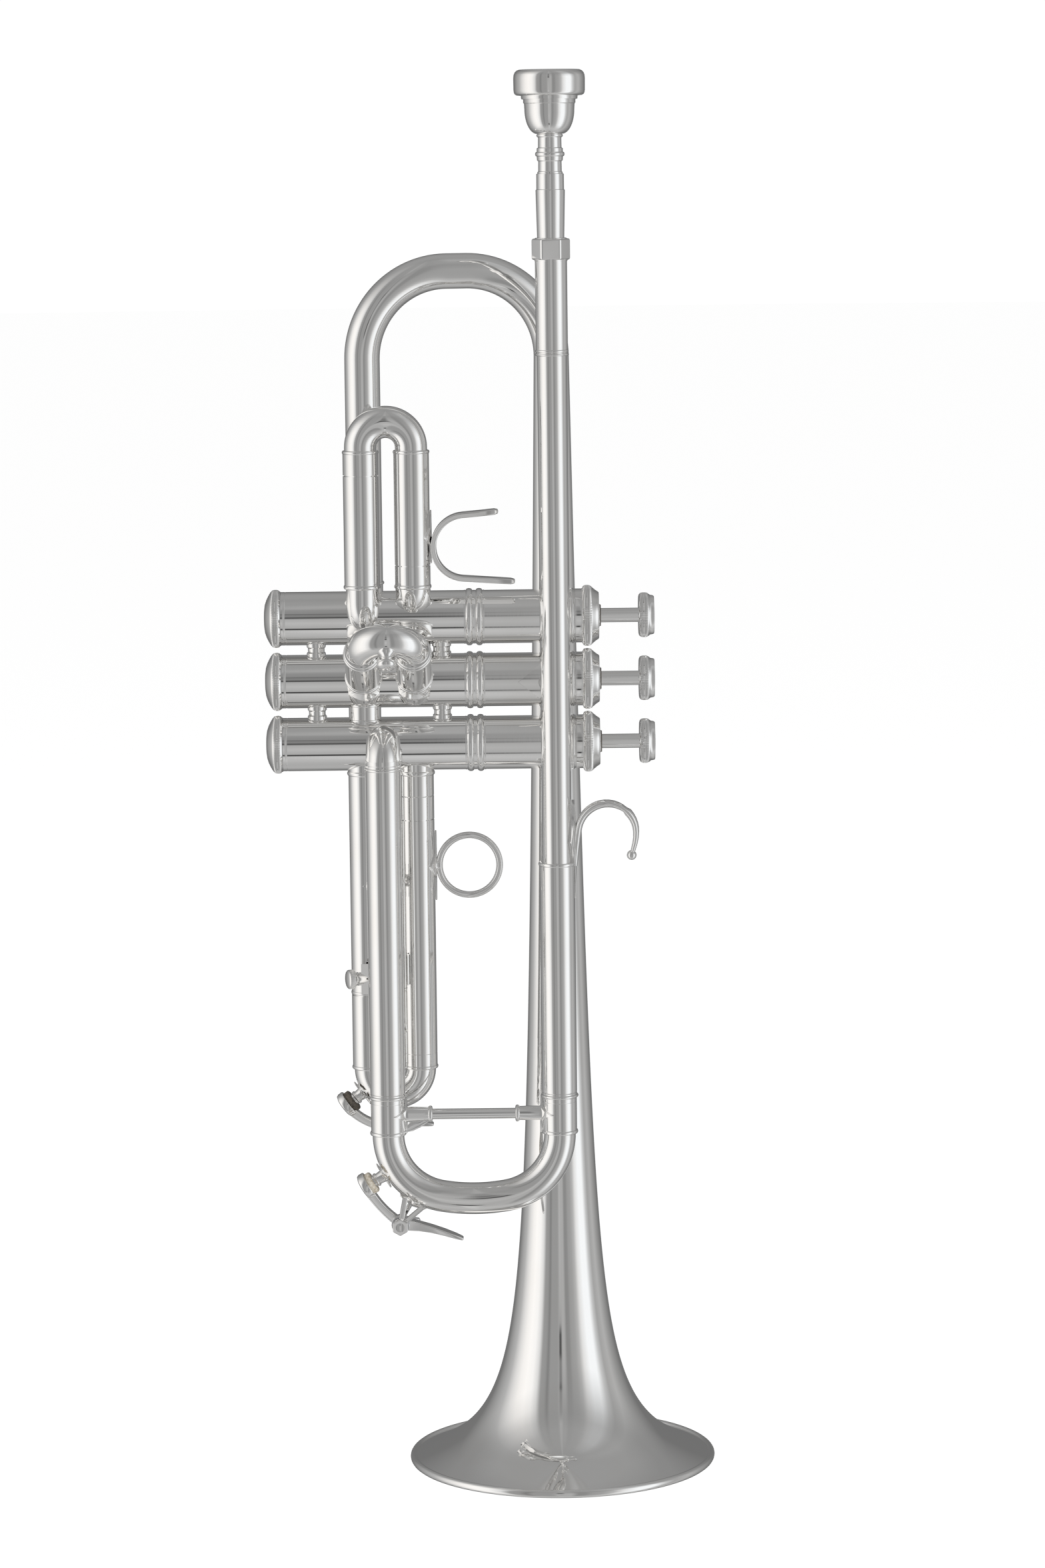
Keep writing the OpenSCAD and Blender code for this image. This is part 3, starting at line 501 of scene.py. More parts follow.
def make_bell():
    rim_r, bead_r, bead_tall, bow_z, bow_r, wall = 61.1, 1.45, 1.65, 442, 33.5, 0.6
    start_z, rings, elbow_steps = 2.4, 56, 28
    heights = [start_z]
    ratio = ((bow_z + FLARE_START) / (start_z + FLARE_START)) ** (1 / rings)
    for _ in range(rings):
        heights.append((heights[-1] + FLARE_START) * ratio - FLARE_START)
    bell = new_ring("bell", 128, False)
    wide = flare_r(heights[0])
    scale_about((0, 0, 0), (wide, wide, 1))
    bpy.ops.transform.translate(value=(0, 0, heights[0] * MM))
    for low, high in zip(heights, heights[1:]):
        draw_out((0, 0, (high - low) * MM))
        widening = flare_r(high) / flare_r(low)
        scale_about((0, 0, high * MM), (widening, widening, 1))
    ahead = Vector((TAIL[0], TAIL[1], 0))
    span = ahead.length
    ahead.normalize()
    pivot = Vector((0, 0, 1)).cross(ahead)
    elbow = {"steps": elbow_steps, "angle": -math.pi / 2, "axis": tuple(pivot)}
    crown = Vector((0, 0, bow_z))
    bpy.ops.mesh.spin(center=tuple((ahead * bow_r + crown) * MM), **elbow)
    draw_out(ahead * (span - 2 * bow_r) * MM)
    bpy.ops.mesh.spin(center=tuple((ahead * (span - bow_r) + crown) * MM), **elbow)
    draw_out((0, 0, (CASING_Z[0] + 2 - bow_z) * MM))
    tidy_mesh()
    apply_modifier(bell, "SOLIDIFY", thickness=wall * MM, offset=-1)
    seated(bell, 0)
    bead = [
        (bead_tall + bead_tall * math.sin(a), rim_r - bead_r + bead_r * math.cos(a))
        for a in [math.radians(22.5 * k) for k in range(16)]
    ]
    rim = turned("rim", bead + bead[:1], sides=160)
    bead = bulge(347.8, 6.86, 1.2, 0.5)
    seam = turned("seam", bead + [(348.4, 6.5), (347.2, 6.5), bead[0]], (*TAIL, 7.5))
    hand_over(
        joined("bell", bell, rim, seam), "instrument", "silver_plate",
        ("bell_flare", "rim_wire", "bell_bow")
    )


# ---- Leadpipe side ----

def make_mouthpiece():
    low = 464.5
    outline = [
        (low, 4.2), (low, 4.75), (489, 5.2), (506.3, 5.6), (506.6, 5.55), (506.8, 5.28), (512.5, 5.25),
        (512.7, 5.15), (512.8, 4.85), (513.4, 4.8), (513.6, 4.5), (517.4, 4.45), (517.7, 4.9), (518.8, 5.0),
    ]
    outline += bulge(520.1, 5.0, 1.8, 0.62, 8) + [(521.4, 5.0), (522.3, 4.98), (522.6, 4.5), (526.2, 4.45)]
    outline += bulge(527.1, 4.6, 1.2, 0.45, 6)
    for k in range(1, 13):
        a = math.radians(90 * k / 12)
        outline.append((527.7 + 9.3 * (1 - math.cos(a)), 4.75 + 4.75 * math.sin(a)))
    outline += [
        (539.0, 9.62), (539.3, 9.75), (539.4, 9.95), (540.7, 9.95), (540.9, 10.7), (542.1, 10.8),
        (542.25, 12.4), (542.6, 13.05), (543.2, 13.42), (544.2, 13.58), (548.6, 13.62), (549.9, 13.5),
        (550.9, 13.1), (551.6, 12.4), (551.95, 11.5), (552, 10.7), (551.85, 9.8), (551.4, 9.0),
        (550.6, 8.45), (549.4, 8.2), (547, 8.0), (544.8, 7.65), (542.6, 7.1), (540.6, 6.3), (538.8, 5.3),
        (537.2, 4.1), (536, 3.1), (534.8, 2.3), (533.6, 1.92), (531, 1.83), (520, 2.2), (495, 3.2),
        (low, 4.2),
    ]
    piece = turned("mouthpiece", outline, (*LEAD, 0), sides=112)
    silver("mouthpiece", [piece], "mouthpiece", 40)


def hexagon(name, low, high, radius, at, axis=UP, bite=0.8, bore=None, roll=0.0):
    """A six-sided nut: a short hexagonal bar with its ends narrowed."""
    nut = new_ring(name, 6, True, roll)
    scale_about((0, 0, 0), (radius, radius, 1))
    bpy.ops.transform.translate(value=(0, 0, low * MM))
    draw_out((0, 0, (high - low) * MM))
    tidy_mesh()
    apply_modifier(
        nut, "BEVEL", width=bite * MM, segments=3, limit_method="ANGLE", angle_limit=math.radians(50)
    )
    if bore:
        cutter = turned("cutter", [(low - 1, bore), (high + 1, bore)])
        apply_modifier(nut, "BOOLEAN", object=cutter, solver="EXACT")
        bpy.data.objects.remove(cutter)
    return settle(nut, at, axis)


def make_leadpipe_side():
    low, hex_low, hex_top, pipe_top = 443.6, 480.1, 488.2, 462
    body = [(low, 5.8), (low, 6.1)] + bulge(low + 0.55, 6.12, 1.0, 0.42) + bulge(low + 1.9, 6.12, 1.0, 0.3)
    body += [
        (low + 2.6, 6.15), (hex_low - 0.6, 6.15), (hex_low - 0.3, 6.35), (hex_low + 0.2, 6.4),
        (hex_top + 0.15, 6.1), (hex_top + 0.3, 5.9), (hex_top + 0.3, 5.3), (465, 4.9), (pipe_top, 4.9),
        (pipe_top, 5.8), (low, 5.8),
    ]
    sleeve = turned("receiver", body, (*LEAD, 0), sides=80)
    nut = hexagon("nut", hex_low, hex_top, 7.55, (*LEAD, 0), bore=5.6, roll=FLATS_FORWARD)
    silver("receiver", [sleeve, nut])

    pipe = turned("leadpipe", walls(239, pipe_top, 5.75, 5.2), (*LEAD, 0))
    silver("leadpipe", [pipe])

    end_z = 155.5
    mouth = bulge(end_z + 0.7, OUTER_R, 1.3, 0.55), groove(end_z + 2.1, OUTER_R)
    tube = turned("tuning_outer_upper", walls(end_z, 246.9, OUTER_R, OUTER_BORE, *mouth), (*LEAD, 0))
    collar = ring(247.4, OUTER_R, 1.5, 0.45, (0.8, 0.8), 5.75, (*LEAD, 0))
    silver("tuning_outer_upper", [tube, collar])

    lower = walls(end_z, 285.7, OUTER_R, OUTER_BORE, *mouth, bulge(285.0, OUTER_R, 1.2, 0.42))
    leg = turned("tuning_outer_lower", lower, (*TUNING, 0))
    silver("tuning_outer_lower", [leg])

    elbow = piped(
        "third_knuckle", (*TUNING, 285.4), UP, 6.6,
        [("run", 0.6), ("bend", (0, 1, 0), 8, 90, 18), ("run", 6)], 0.75, 64,
    )
    cuff = turned("cuff", walls(285.6, 288.4, 6.95, 6.5, groove(286.6, 6.95, 0.5, 0.15)), (*TUNING, 0))
    silver("third_knuckle", [seated(elbow, 2), cuff])


def make_finger_hook():
    foot = patch("foot", (*LEAD, 256), RIGHT, UP, LEAD_R, 1.3, 3.6, 16.4)
    sole = patch("sole", (*LEAD, 251), RIGHT, UP, 6.9, 0.5, 2.9, 17.5)
    path = [(7.0, 246.5), (7.2, 250), (7.6, 254.5)] + arc(19.5, 259.5, 11.2, 172, 0, 20)
    path += [(30.6, 257.2), (30.2, 255.0), (29.6, 252.8), (29.1, 251.0)]
    slim_end, swell, fullest = 1.7, 1.5, 0.66
    sizes = []
    for k in range(len(path)):
        t = k / (len(path) - 1)
        if t < fullest:
            thick = slim_end + swell * math.sin(math.pi * min(1, t * 1.5)) ** 0.6
        else:
            thick = slim_end + swell - swell * (t - fullest) / (1 - fullest)
        sizes.append((thick, 2.6 + 2.8 * math.sin(math.pi * min(t / 0.9, 1)) ** 0.7))
    strap = swept("strap", path, sizes, (0, LEAD[1], 0), 28)
    ball_r = 1.9
    half_turn = [math.pi * k / 12 for k in range(13)]
    profile = [(-ball_r * math.cos(a), ball_r * math.sin(a)) for a in half_turn]
    ball = turned("ball", profile, (28.9, LEAD[1], 250.4), sides=32)
    silver("finger_hook", [soften(foot, 0.3, 3), soften(sole, 0.15), strap, ball], smooth=45)


# ---- Valve section ----

def make_casings():
    line = [(-109.6, 8.65), (-109.6, 9.9), (-106.3, 9.9), (-106.3, CASING_R)]
    line += groove(-104.6, CASING_R, 0.4, 0.12) + [(-35.2, CASING_R), (-34.9, CASING_R + 0.12)]
    line += bulge(-33.1, CASING_R, 2.5, 0.75, 8) + [(-31.5, CASING_R + 0.05)]
    line += bulge(-29.2, CASING_R, 2.5, 0.75, 8)
    line += [(-27.4, CASING_R + 0.12), (-27.1, CASING_R)] + bulge(6.8, CASING_R, 1.4, 0.45)
    line += [(8, CASING_R), (8, 9.9), (11.8, 9.9), (11.8, 9.3), (-28.5, 9.3), (-28.5, 8.65), (-109.6, 8.65)]
    first = soften(turned("casing_1", line, (0, VALVE_Y, CASING_Z[0]), RIGHT, 112), 0.08)
    for number, casing in enumerate(three_of(first), 1):
        silver(f"casing_{number}", [casing])


def three_of(piece):
    """The piece of the first valve and its copies for the other two."""
    return [piece] + [copied(piece, (0, 0, z - CASING_Z[0])) for z in CASING_Z[1:]]


def make_caps():
    at = (0, VALVE_Y, CASING_Z[0])
    teeth = 104
    line = [
        (-109.2, 1.5), (-112.4, 1.5), (-112.8, 1.9), (-112.78, 3.6), (-112.5, 5.6), (-111.9, 7.4),
        (-111.1, 9.0), (-110.5, 10.0), (-110.3, 10.3), (-109.9, 10.75), (-109.6, 11.05), (-108.9, 11.28),
        (-107.9, 11.32), (-107.2, 11.1), (-106.9, 10.8), (-106.4, 10.5), (-106.35, 9.95), (-109.2, 9.95),
        (-109.2, 1.5),
    ]
    cap = turned("bottom_caps", line, at, RIGHT, teeth * 2)
    knurl(cap, at, RIGHT, -109.7, -107.1, teeth, 0.24)
    silver("bottom_caps", three_of(cap), smooth=32)

    teeth = 110
    line = [
        (8.1, 9.95), (8.1, 10.5), (10.6, 10.5), (10.9, 10.65), (11.0, 11.1), (11.35, 11.55), (12.1, 11.83),
        (12.9, 11.86), (13.7, 11.75), (14.3, 11.45), (14.7, 11.0), (15.2, 10.6), (15.9, 10.0), (16.6, 9.5),
        (17.1, 9.2), (17.35, 8.9), (17.35, 4.6), (17.5, 4.4), (17.7, 4.35), (17.72, 4.2), (17.72, 2.95),
        (13.2, 2.95), (12.0, 3.0), (12.0, 9.95), (8.1, 9.95),
    ]
    cap = turned("top_caps", line, at, RIGHT, teeth * 2)
    knurl(cap, at, RIGHT, 11.3, 14.4, teeth, 0.26)
    silver("top_caps", three_of(cap), smooth=32)


def make_spacers():
    line = [(-4.6, 0.5), (-4.6, 4.0)] + bulge(-3.6, 3.75, 1.4, 0.4)
    line += [(-2.5, 3.8), (-1.2, 3.7), (-0.7, 3.25), (0.7, 3.25), (1.2, 3.7), (2.5, 3.8)]
    line += bulge(3.6, 3.75, 1.4, 0.4) + [(4.6, 4.0), (4.6, 0.5)]
    mid = (CASING_Z[0] + CASING_Z[1]) / 2
    spools = []
    for x in (-92.8, -44):
        spool = turned("casing_spacers", line, (x, VALVE_Y, mid), sides=48)
        spools += [spool, copied(spool, (0, 0, CASING_Z[1] - CASING_Z[0]))]
    silver("casing_spacers", spools)

    link = walls(-7.5, 7.5, 6.3, BORE, bulge(-3.0, 6.3, 1.0, 0.3), bulge(3.0, 6.3, 1.0, 0.3))
    tubes = []
    for i in (0, 1):
        tube = turned("crossover_tubes", link, (LEGS[1 - i], VALVE_Y, (CASING_Z[i] + CASING_Z[i + 1]) / 2))
        tubes.append(seated(seated(tube, i), i + 1))
    silver("crossover_tubes", tubes)


def make_valves():
    """What the fingers press: stem, knurled button and pearl, once for each valve."""
    # A ring on each top cap round the stem, in dark rubber as painted reflection: its darkness stands for
    # the dark reflection in the small step between cap and stem.
    line = [(17.73, 2.95), (17.73, 4.15), (18.0, 4.2), (18.1, 4.05), (18.1, 2.95), (17.73, 2.95)]
    shade_ring = turned("stem_shade_rings", line, (0, VALVE_Y, CASING_Z[0]), RIGHT, 48)
    hand_over(joined("stem_shade_rings", *three_of(shade_ring)), "instrument", "neoprene", ())
    for i in (1, 2, 3):
        at = (0, VALVE_Y, CASING_Z[i - 1])
        body = f"valve_{i}"
        stem = turned(f"stem_{i}", [(9.5, 0), (9.5, 2.8), (32.7, 2.8), (32.7, 0)], at, RIGHT, 48)
        silver(f"stem_{i}", [stem], body)
        teeth = 84
        line = [
            (32.7, 0), (32.7, 7.2), (32.85, 7.8), (33.2, 8.3), (33.6, 8.55), (34.3, 8.7), (35.4, 8.7),
            (36.1, 8.55), (36.5, 8.3), (36.9, 8.0), (37.2, 7.75), (37.9, 7.65), (38.5, 7.5), (38.78, 7.2),
            (38.78, 6.92), (37.4, 6.9), (37.4, 0),
        ]
        button = turned(f"button_{i}", line, at, RIGHT, teeth * 2)
        knurl(button, at, RIGHT, 33.5, 36.2, teeth, 0.2)
        silver(f"button_{i}", [button], body, 32)
        dome = [(37.35, 0), (37.35, 6.86), (38.35, 6.86), (38.6, 6.6)]
        for a in (20, 40, 60, 75, 90):
            dome.append((38.6 + 0.4 * math.sin(math.radians(a)), 6.6 * math.cos(math.radians(a))))
        pearl = turned(f"pearl_{i}", dome, at, RIGHT, 64)
        hand_over(pearl, body, "pearl", (f"pearl_{i}",), 50)


# ---- Main tuning slide ----

# Each water key: the centre and radius of the bend it sits on, the angles of its nipple and pivot,
# how far from the centre the nipple's mouth and the pivot are, and the thumb plate's tip from the pivot
TUNING_KEY = {
    "centre": (-42, -40, 141.2), "bend": 25, "nipple": 211, "pivot": 239.6,
    "mouth": 35.9, "reach": 40.9, "tip": (24.5, -6.5),
}
THIRD_KEY = {
    "centre": (SLIDE_X, VALVE_Y, 164), "bend": LEG_GAP / 2, "nipple": 217, "pivot": 258.6,
    "mouth": 20.4, "reach": 23.6, "tip": (19.5, 0.5),
}


def make_tuning_slide():
    top, low, bend, sweep = 141.2, 155.4, 25, 80
    offset = (67 / 2 - bend) / math.cos(math.radians(sweep))
    bow = tuning_curve(top, bend, sweep, bend + offset)
    shells = [bow]
    for x, y in (LEAD, TUNING):
        marks = bulge(top + 0.75, 6.7, 1.5, 0.42, 8), groove(low - 1.6, 6.7, 0.4, 0.1)
        ferrule = walls(top, low, 6.7, FERRULE_BORE, *marks)
        shells.append(turned("ferrule", ferrule, (x, y, 0)))
        shells.append(inner_leg(top + 4, 235, (x, y, 0)))
    silver("tuning_bow", shells, "tuning_slide")

    z = 149.2
    parts = []
    for x, side in ((TUNING[0], 1), (LEAD[0], -1)):
        out = (side, 0, 0)
        parts += star("brace", (x, LEAD[1], z), out, UP, 6.71, 0.9, 6.3, 7.6)
        socket = [(5.4, 0), (5.4, 3.6), (6.6, 3.25), (8.0, 2.95), (15.6, 2.75)]
        socket += bulge(16.5, 2.85, 1.5, 0.45, 8) + [(17.3, 2.7), (17.4, 2.1), (17.4, 0)]
        parts.append(turned("socket", socket, (x, LEAD[1], z), out, 48))
    rod = [(16, 0), (16, 2.05), (51, 2.05), (51, 0)]
    parts.append(turned("rod", rod, (TUNING[0], LEAD[1], z), RIGHT, 40))
    path = [(TUNING[0] + x, z - drop) for x, drop in ((6.6, 6.2), (9, 5.1), (12, 3.9), (16, 2.3))]
    sizes = [(2.2, 1.2), (3.4, 1.2), (3.0, 1.1), (1.0, 0.8)]
    gusset = swept("gusset", path, sizes, (0, LEAD[1], 0), 12)
    silver("tuning_brace", [*parts, gusset], "tuning_slide", 40)


def tuning_curve(top, bend, sweep, crown):
    """The bow's bent tube: a tight bend, the flat crown and a tight bend."""
    leg_z = 150
    moves = [
        ("run", leg_z - top), ("bend", RIGHT, bend, sweep, 26),
        ("bend", pointing(sweep), crown, 180 - 2 * sweep, 12),
        ("bend", pointing(180 - sweep), bend, sweep, 26), ("run", leg_z - top),
    ]
    return piped("tuning_bow", (*TUNING, leg_z), DOWN, BOW_R, moves, BOW_WALL, 64)


def pointing(degrees):
    """A direction in the XZ plane, its angle counted from +X towards +Z."""
    turn = math.radians(degrees)
    return Vector((math.cos(turn), 0, math.sin(turn)))


def make_key_saddle(name, key, slide, pivot):
    """What stays on the slide: the nipple, the diamond plates, the posts and the pivot screw."""
    centre, bend, mouth = Vector(key["centre"]), key["bend"], key["mouth"]
    out, away = pointing(key["nipple"]), pointing(key["pivot"])
    side = (0, -1, 0)
    seat = bend + BOW_R
    line = [(bend + 4, 1.4), (bend + 4, 3.0), (seat + 0.3, 3.0), (seat + 0.6, 2.5), (mouth - 2.2, 2.25)]
    line += bulge(mouth - 1.2, 2.3, 1.1, 0.45) + [(mouth, 2.35), (mouth, 1.4), (bend + 4, 1.4)]
    saddle = [turned("nipple", line, centre, out, 40)]
    line = [(seat - 1.6, 0), (seat - 1.6, 4.6), (seat - 0.6, 4.4), (seat + 0.5, 3.2), (seat + 0.8, 2.4)]
    saddle.append(soften(turned("skirt", line + [(seat + 0.8, 0)], centre, out, 4), 0.35, 3))
    for y, leans in ((-1, (-7.5, 7.5)), (1, (0,))):
        for lean in leans:
            foot = centre + pointing(key["pivot"] + lean) * (seat - 0.9) + Vector((0, y * 5.0, 0))
            saddle.append(post("post", foot, pivot + Vector((0, y * 5.3, 0)), 1.9, 1.5))
    line = [(seat - 1.6, 0), (seat - 1.6, 6.4), (seat - 0.2, 6.2), (seat + 0.9, 4.6), (seat + 0.9, 0)]
    saddle.append(soften(turned("base", line, centre, away, 4), 0.4, 3))
    for spoke in (out, away):
        tangent = spoke.cross(Vector((0, 1, 0)))
        saddle += star("plate", centre + spoke * bend, spoke, tangent, BOW_R + 0.02, 0.75, 5.2, 5.6, 0.15)
    saddle.append(turned("pin", [(-6.6, 0), (-6.6, 1.1), (8, 1.1), (8, 0)], pivot, side, 24))
    for y, thick in ((1, 1.7), (-1, 1.5)):
        eye = [(4.6, 0), (4.6, 2.4), (4.6 + thick, 2.4), (4.6 + thick, 0)]
        saddle.append(turned("eye", eye, pivot, (0, -y, 0), 32))
    saddle.append(hexagon("head", 6.4, 8.9, 3.35, pivot, side, 0.35))
    saddle.append(turned("dimple", [(8.8, 0), (8.8, 2.0), (9.0, 1.6), (9.0, 0)], pivot, side, 32))
    silver(f"{name}_saddle", saddle, slide, 40)


def make_key_lever(name, key, body, finish, pivot):
    """What turns on the pivot: the cup on its arm, the thumb plate, the barrel, the spring and the cork."""
    centre, mouth, reach = Vector(key["centre"]), key["mouth"], key["reach"]
    out = pointing(key["nipple"])
    low, high = mouth + 2.3, mouth + 5.4
    line = [(low, 4.35), (low, 5.1), (low + 0.3, 5.3), (high - 1.2, 5.3), (high - 0.4, 4.9), (high, 3.9)]
    cup = turned("cup", line + [(high + 0.1, 0)], centre, out, 64)
    path, sizes = [], []
    steps, arm_start = 14, high - 1.6
    for k in range(steps + 1):
        t = k / steps
        a = key["nipple"] + 2 + (key["pivot"] - key["nipple"] - 2) * t
        spot = pointing(a) * (arm_start + (reach - arm_start) * t ** 1.4)
        path.append((spot.x, spot.z))
        sizes.append((3.6 - 0.4 * math.sin(math.pi * t), 5.4 - 0.9 * t))
    arm = soften(swept("arm", path, sizes, centre, 4), 0.7, 3)
    tip = Vector((key["tip"][0], 0, key["tip"][1]))
    shares = (0, 0.12, 0.3, 0.5, 0.7, 0.88, 1.0)
    path = [(tip.x * t, tip.z * t + 0.9 * math.sin(math.pi * t)) for t in shares]
    sizes = [(5.0, 5.2), (4.4, 5.2), (3.3, 5.6), (2.5, 6.2), (1.9, 6.6), (1.5, 6.0), (1.1, 4.4)]
    thumb = soften(swept("thumb", path, sizes, pivot, 4), 0.5, 3)
    line = [(-4.3, 1.15), (-4.3, 2.5), (-4.1, 2.7), (4.1, 2.7), (4.3, 2.5), (4.3, 1.15), (-4.3, 1.15)]
    barrel = turned("barrel", line, pivot, (0, -1, 0), 40)
    coil = spring_coil(pivot, tip)
    silver(f"{name}_lever", [cup, arm, thumb, barrel], body, 40)
    hand_over(coil, body, "spring_steel", ())
    coil.name = f"{name}_spring"
    low, high = mouth + 0.02, mouth + 2.82
    pad = turned("pad", [(low, 0), (low, 3.9), (low + 0.4, 4.3), (high, 4.3), (high, 0)], centre, out, 48)
    pad.name = f"{name}_cork"
    hand_over(pad, body, finish, (f"{name}_cork",), 40)


def make_key(name, key, slide, body, finish):
    pivot = Vector(key["centre"]) + pointing(key["pivot"]) * key["reach"]
    make_key_saddle(name, key, slide, pivot)
    make_key_lever(name, key, body, finish, pivot)


def post(name, start, end, thick, wide):
    """A flat strut between two points of one XZ plane."""
    start, end = Vector(start), Vector(end)
    length = (end - start).length
    piece = new_ring(name, 4, True, math.pi / 4)
    scale_about((0, 0, 0), (thick / 2 * math.sqrt(2), wide / 2 * math.sqrt(2), 1))
    draw_out((0, 0, length * MM))
    tidy_mesh()
    settle(piece, start, end - start)
    return soften(piece, 0.3, 2)


def spring_coil(pivot, tip):
    """The wire spring round a key's barrel, with its tail on the thumb lever."""
    piece = new_ring("coil", 10, True)
    bpy.ops.object.mode_set(mode="OBJECT")
    wire_r, coil_r, near, turns, steps, rise = 0.42, 3.15, -4.2, 3, 20, 0.95

    def on_coil(k):
        a = 2 * math.pi * k / steps
        return Vector(pivot) + Vector((coil_r * math.sin(a), near + rise * k / steps, coil_r * math.cos(a)))

    start = on_coil(0)
    settle(piece, start, RIGHT)
    piece.data.transform(
        Matrix.Translation(start * MM) @ Matrix.Scale(wire_r, 4) @ Matrix.Translation(-start * MM)
    )
    take(piece)
    bpy.ops.object.mode_set(mode="EDIT")
    bpy.ops.mesh.select_all(action="SELECT")
    for k in range(turns * steps):
        end = on_coil(k + 1)
        draw_out((end - on_coil(k)) * MM)
        bpy.ops.transform.rotate(
            value=-2 * math.pi / steps, orient_axis="Y", center_override=tuple(end * MM)
        )
    tail = tip.normalized() * 7.5
    draw_out(Vector((tail.x, 0, tail.z * 0.6)) * MM)
    draw_out(Vector((0.5, 0.3, -0.9)) * MM)
    tidy_mesh()
    return piece


# ---- First slide ----

def make_first_slide():
    ring_z, line_z, sleeve_low, bow_z = 355, 398, 363.4, 406.4
    parts = []
    for x, low in ((LEGS[0], 342.8), (LEGS[1], 349.9)):
        parts.append(seated(knuckle("knuckle", (x, FIRST_Y, ring_z), low), 0))
        parts.append(ring(ring_z, 6.6, 1.7, 0.62, (0.9, 0.9), BORE, (x, FIRST_Y, 0)))
    parts.append(turned("sleeve", walls(ring_z, line_z - 0.2, OUTER_R, OUTER_BORE), (LEGS[0], FIRST_Y, 0)))
    parts.append(turned("stub", walls(ring_z, sleeve_low - 0.45, OUTER_R, BORE), (LEGS[1], FIRST_Y, 0)))
    parts.append(inner_leg(ring_z + 1, 402, (LEGS[1], FIRST_Y, 0)))
    silver("first_slide_outer", parts)

    arc_z = bow_z + 2.4
    parts = [slide_bow((LEGS[0], FIRST_Y, bow_z), UP, arc_z - bow_z)]
    parts.append(inner_leg(357.5, bow_z, (LEGS[0], FIRST_Y, 0)))
    parts.append(turned("ferrule", walls(line_z + 0.25, bow_z + 0.3, OUTER_R, 5.9), (LEGS[0], FIRST_Y, 0)))
    sleeve = walls(sleeve_low, bow_z + 0.3, OUTER_R, OUTER_BORE)
    parts.append(turned("sleeve", sleeve, (LEGS[1], FIRST_Y, 0)))
    for x in LEGS:
        parts.append(ring(bow_z + 0.6, 6.5, 1.5, 0.6, (0.8, 0.8), FERRULE_BORE, (x, FIRST_Y, 0)))
    silver("first_slide_bow", parts, "first_slide")

    centre, r = (-34.2, 370.2), 12.3
    parts = star("foot", (LEGS[1], FIRST_Y, 374.2), RIGHT, UP, OUTER_R + 0.01, 0.7, 4.9, 10.4)
    tilt_up, tilt_down = 5, -4

    def on_leaf(tilt, side, along):
        """A point of a straight leaf, above (1) or below (-1) the centre, which leaves the arc at a tilt."""
        lean = math.radians(tilt)
        x = centre[0] - side * r * math.sin(lean) + along * math.cos(lean)
        return x, centre[1] + side * r * math.cos(lean) + along * math.sin(lean)

    tip = on_leaf(tilt_up, 1, 14)
    path = [tip, (tip[0] - 1.5, tip[1] - 0.05)] + [on_leaf(tilt_up, 1, s) for s in (9, 5, 1.5)]
    path += arc(*centre, r, 90 + tilt_up, 270 + tilt_down, 34)
    path += [on_leaf(tilt_down, -1, s) for s in (2, 7, 12, 18.4, 20)]
    count = len(path)
    sizes = []
    for k in range(count):
        end = min(k, count - 1 - k)
        sizes.append((1.5 if end == 0 else 2.1, 5.0 if end == 0 else 7.2 if end == 1 else 8.0))
    strap = soften(swept("strap", path, sizes, (0, FIRST_Y, 0), 4), 0.55, 4)
    line = [(r - 0.6, 0), (r - 0.6, 3.2), (r + 0.6, 2.8), (r + 1.1, 2.7), (r + 1.1, 0)]
    boss = turned("boss", line, (centre[0], FIRST_Y, centre[1]), LEFT, 40)
    silver("thumb_saddle", [*parts, strap, boss], "first_slide", 42)


def knuckle(name, at, low_z):
    """A tube that comes down beside a casing and turns into it in a tight round corner."""
    drop = at[2] - low_z
    moves = [("run", drop - 6.4), ("bend", (0, 1, 0), 6.42, 90, 20), ("run", 3.5)]
    return piped(name, at, DOWN, 6.3, moves, 0.47, 64)


# ---- Second slide ----

def make_second_slide():
    ring_t = 31.8
    parts = []
    for x in LEGS:
        base = (x, SECOND_BASE[1], SECOND_BASE[2])
        cone = [(8.6, OUTER_R + 0.9), (10.2, OUTER_R + 0.25)]
        beads = [bulge(t, OUTER_R, 1.5, 0.5) for t in (12.0, ring_t - 0.8)]
        line = walls(4, ring_t, OUTER_R, OUTER_BORE, cone, *beads)
        line[1:2] = [(4, OUTER_R + 1.6), (7.6, OUTER_R + 1.4)]
        parts.append(seated(turned("leg", line, base, SECOND_OUT, 72), 1))
    silver("second_slide_outer", parts)

    arc_t = ring_t + 1.8
    start = Vector((LEGS[0], SECOND_BASE[1], SECOND_BASE[2])) + SECOND_OUT * (ring_t + 0.2)
    parts = [slide_bow(start, SECOND_OUT, arc_t - ring_t - 0.2)]
    for x in LEGS:
        base = (x, SECOND_BASE[1], SECOND_BASE[2])
        parts.append(inner_leg(14, ring_t + 1, base, SECOND_OUT))
        parts.append(ring(ring_t + 0.9, 6.5, 1.5, 0.65, (0.8, 0.8), FERRULE_BORE, base, SECOND_OUT))
    silver("second_slide_bow", parts, "second_slide")

    crown = Vector((SLIDE_X, SECOND_BASE[1], SECOND_BASE[2])) + SECOND_OUT * (arc_t + LEG_GAP / 2)
    line = [
        (4.6, 0), (4.6, 3.6), (5.8, 3.5), (6.3, 3.0), (6.8, 2.4), (8.0, 2.1), (8.9, 2.2), (9.4, 2.9),
        (9.9, 3.5), (10.8, 3.8), (11.6, 3.55), (12.2, 2.7), (12.5, 1.5), (12.6, 0),
    ]
    knob = turned("second_slide_knob", line, crown, SECOND_DOWN, 48)
    silver("second_slide_knob", [knob], "second_slide", 50)


# ---- Third slide ----

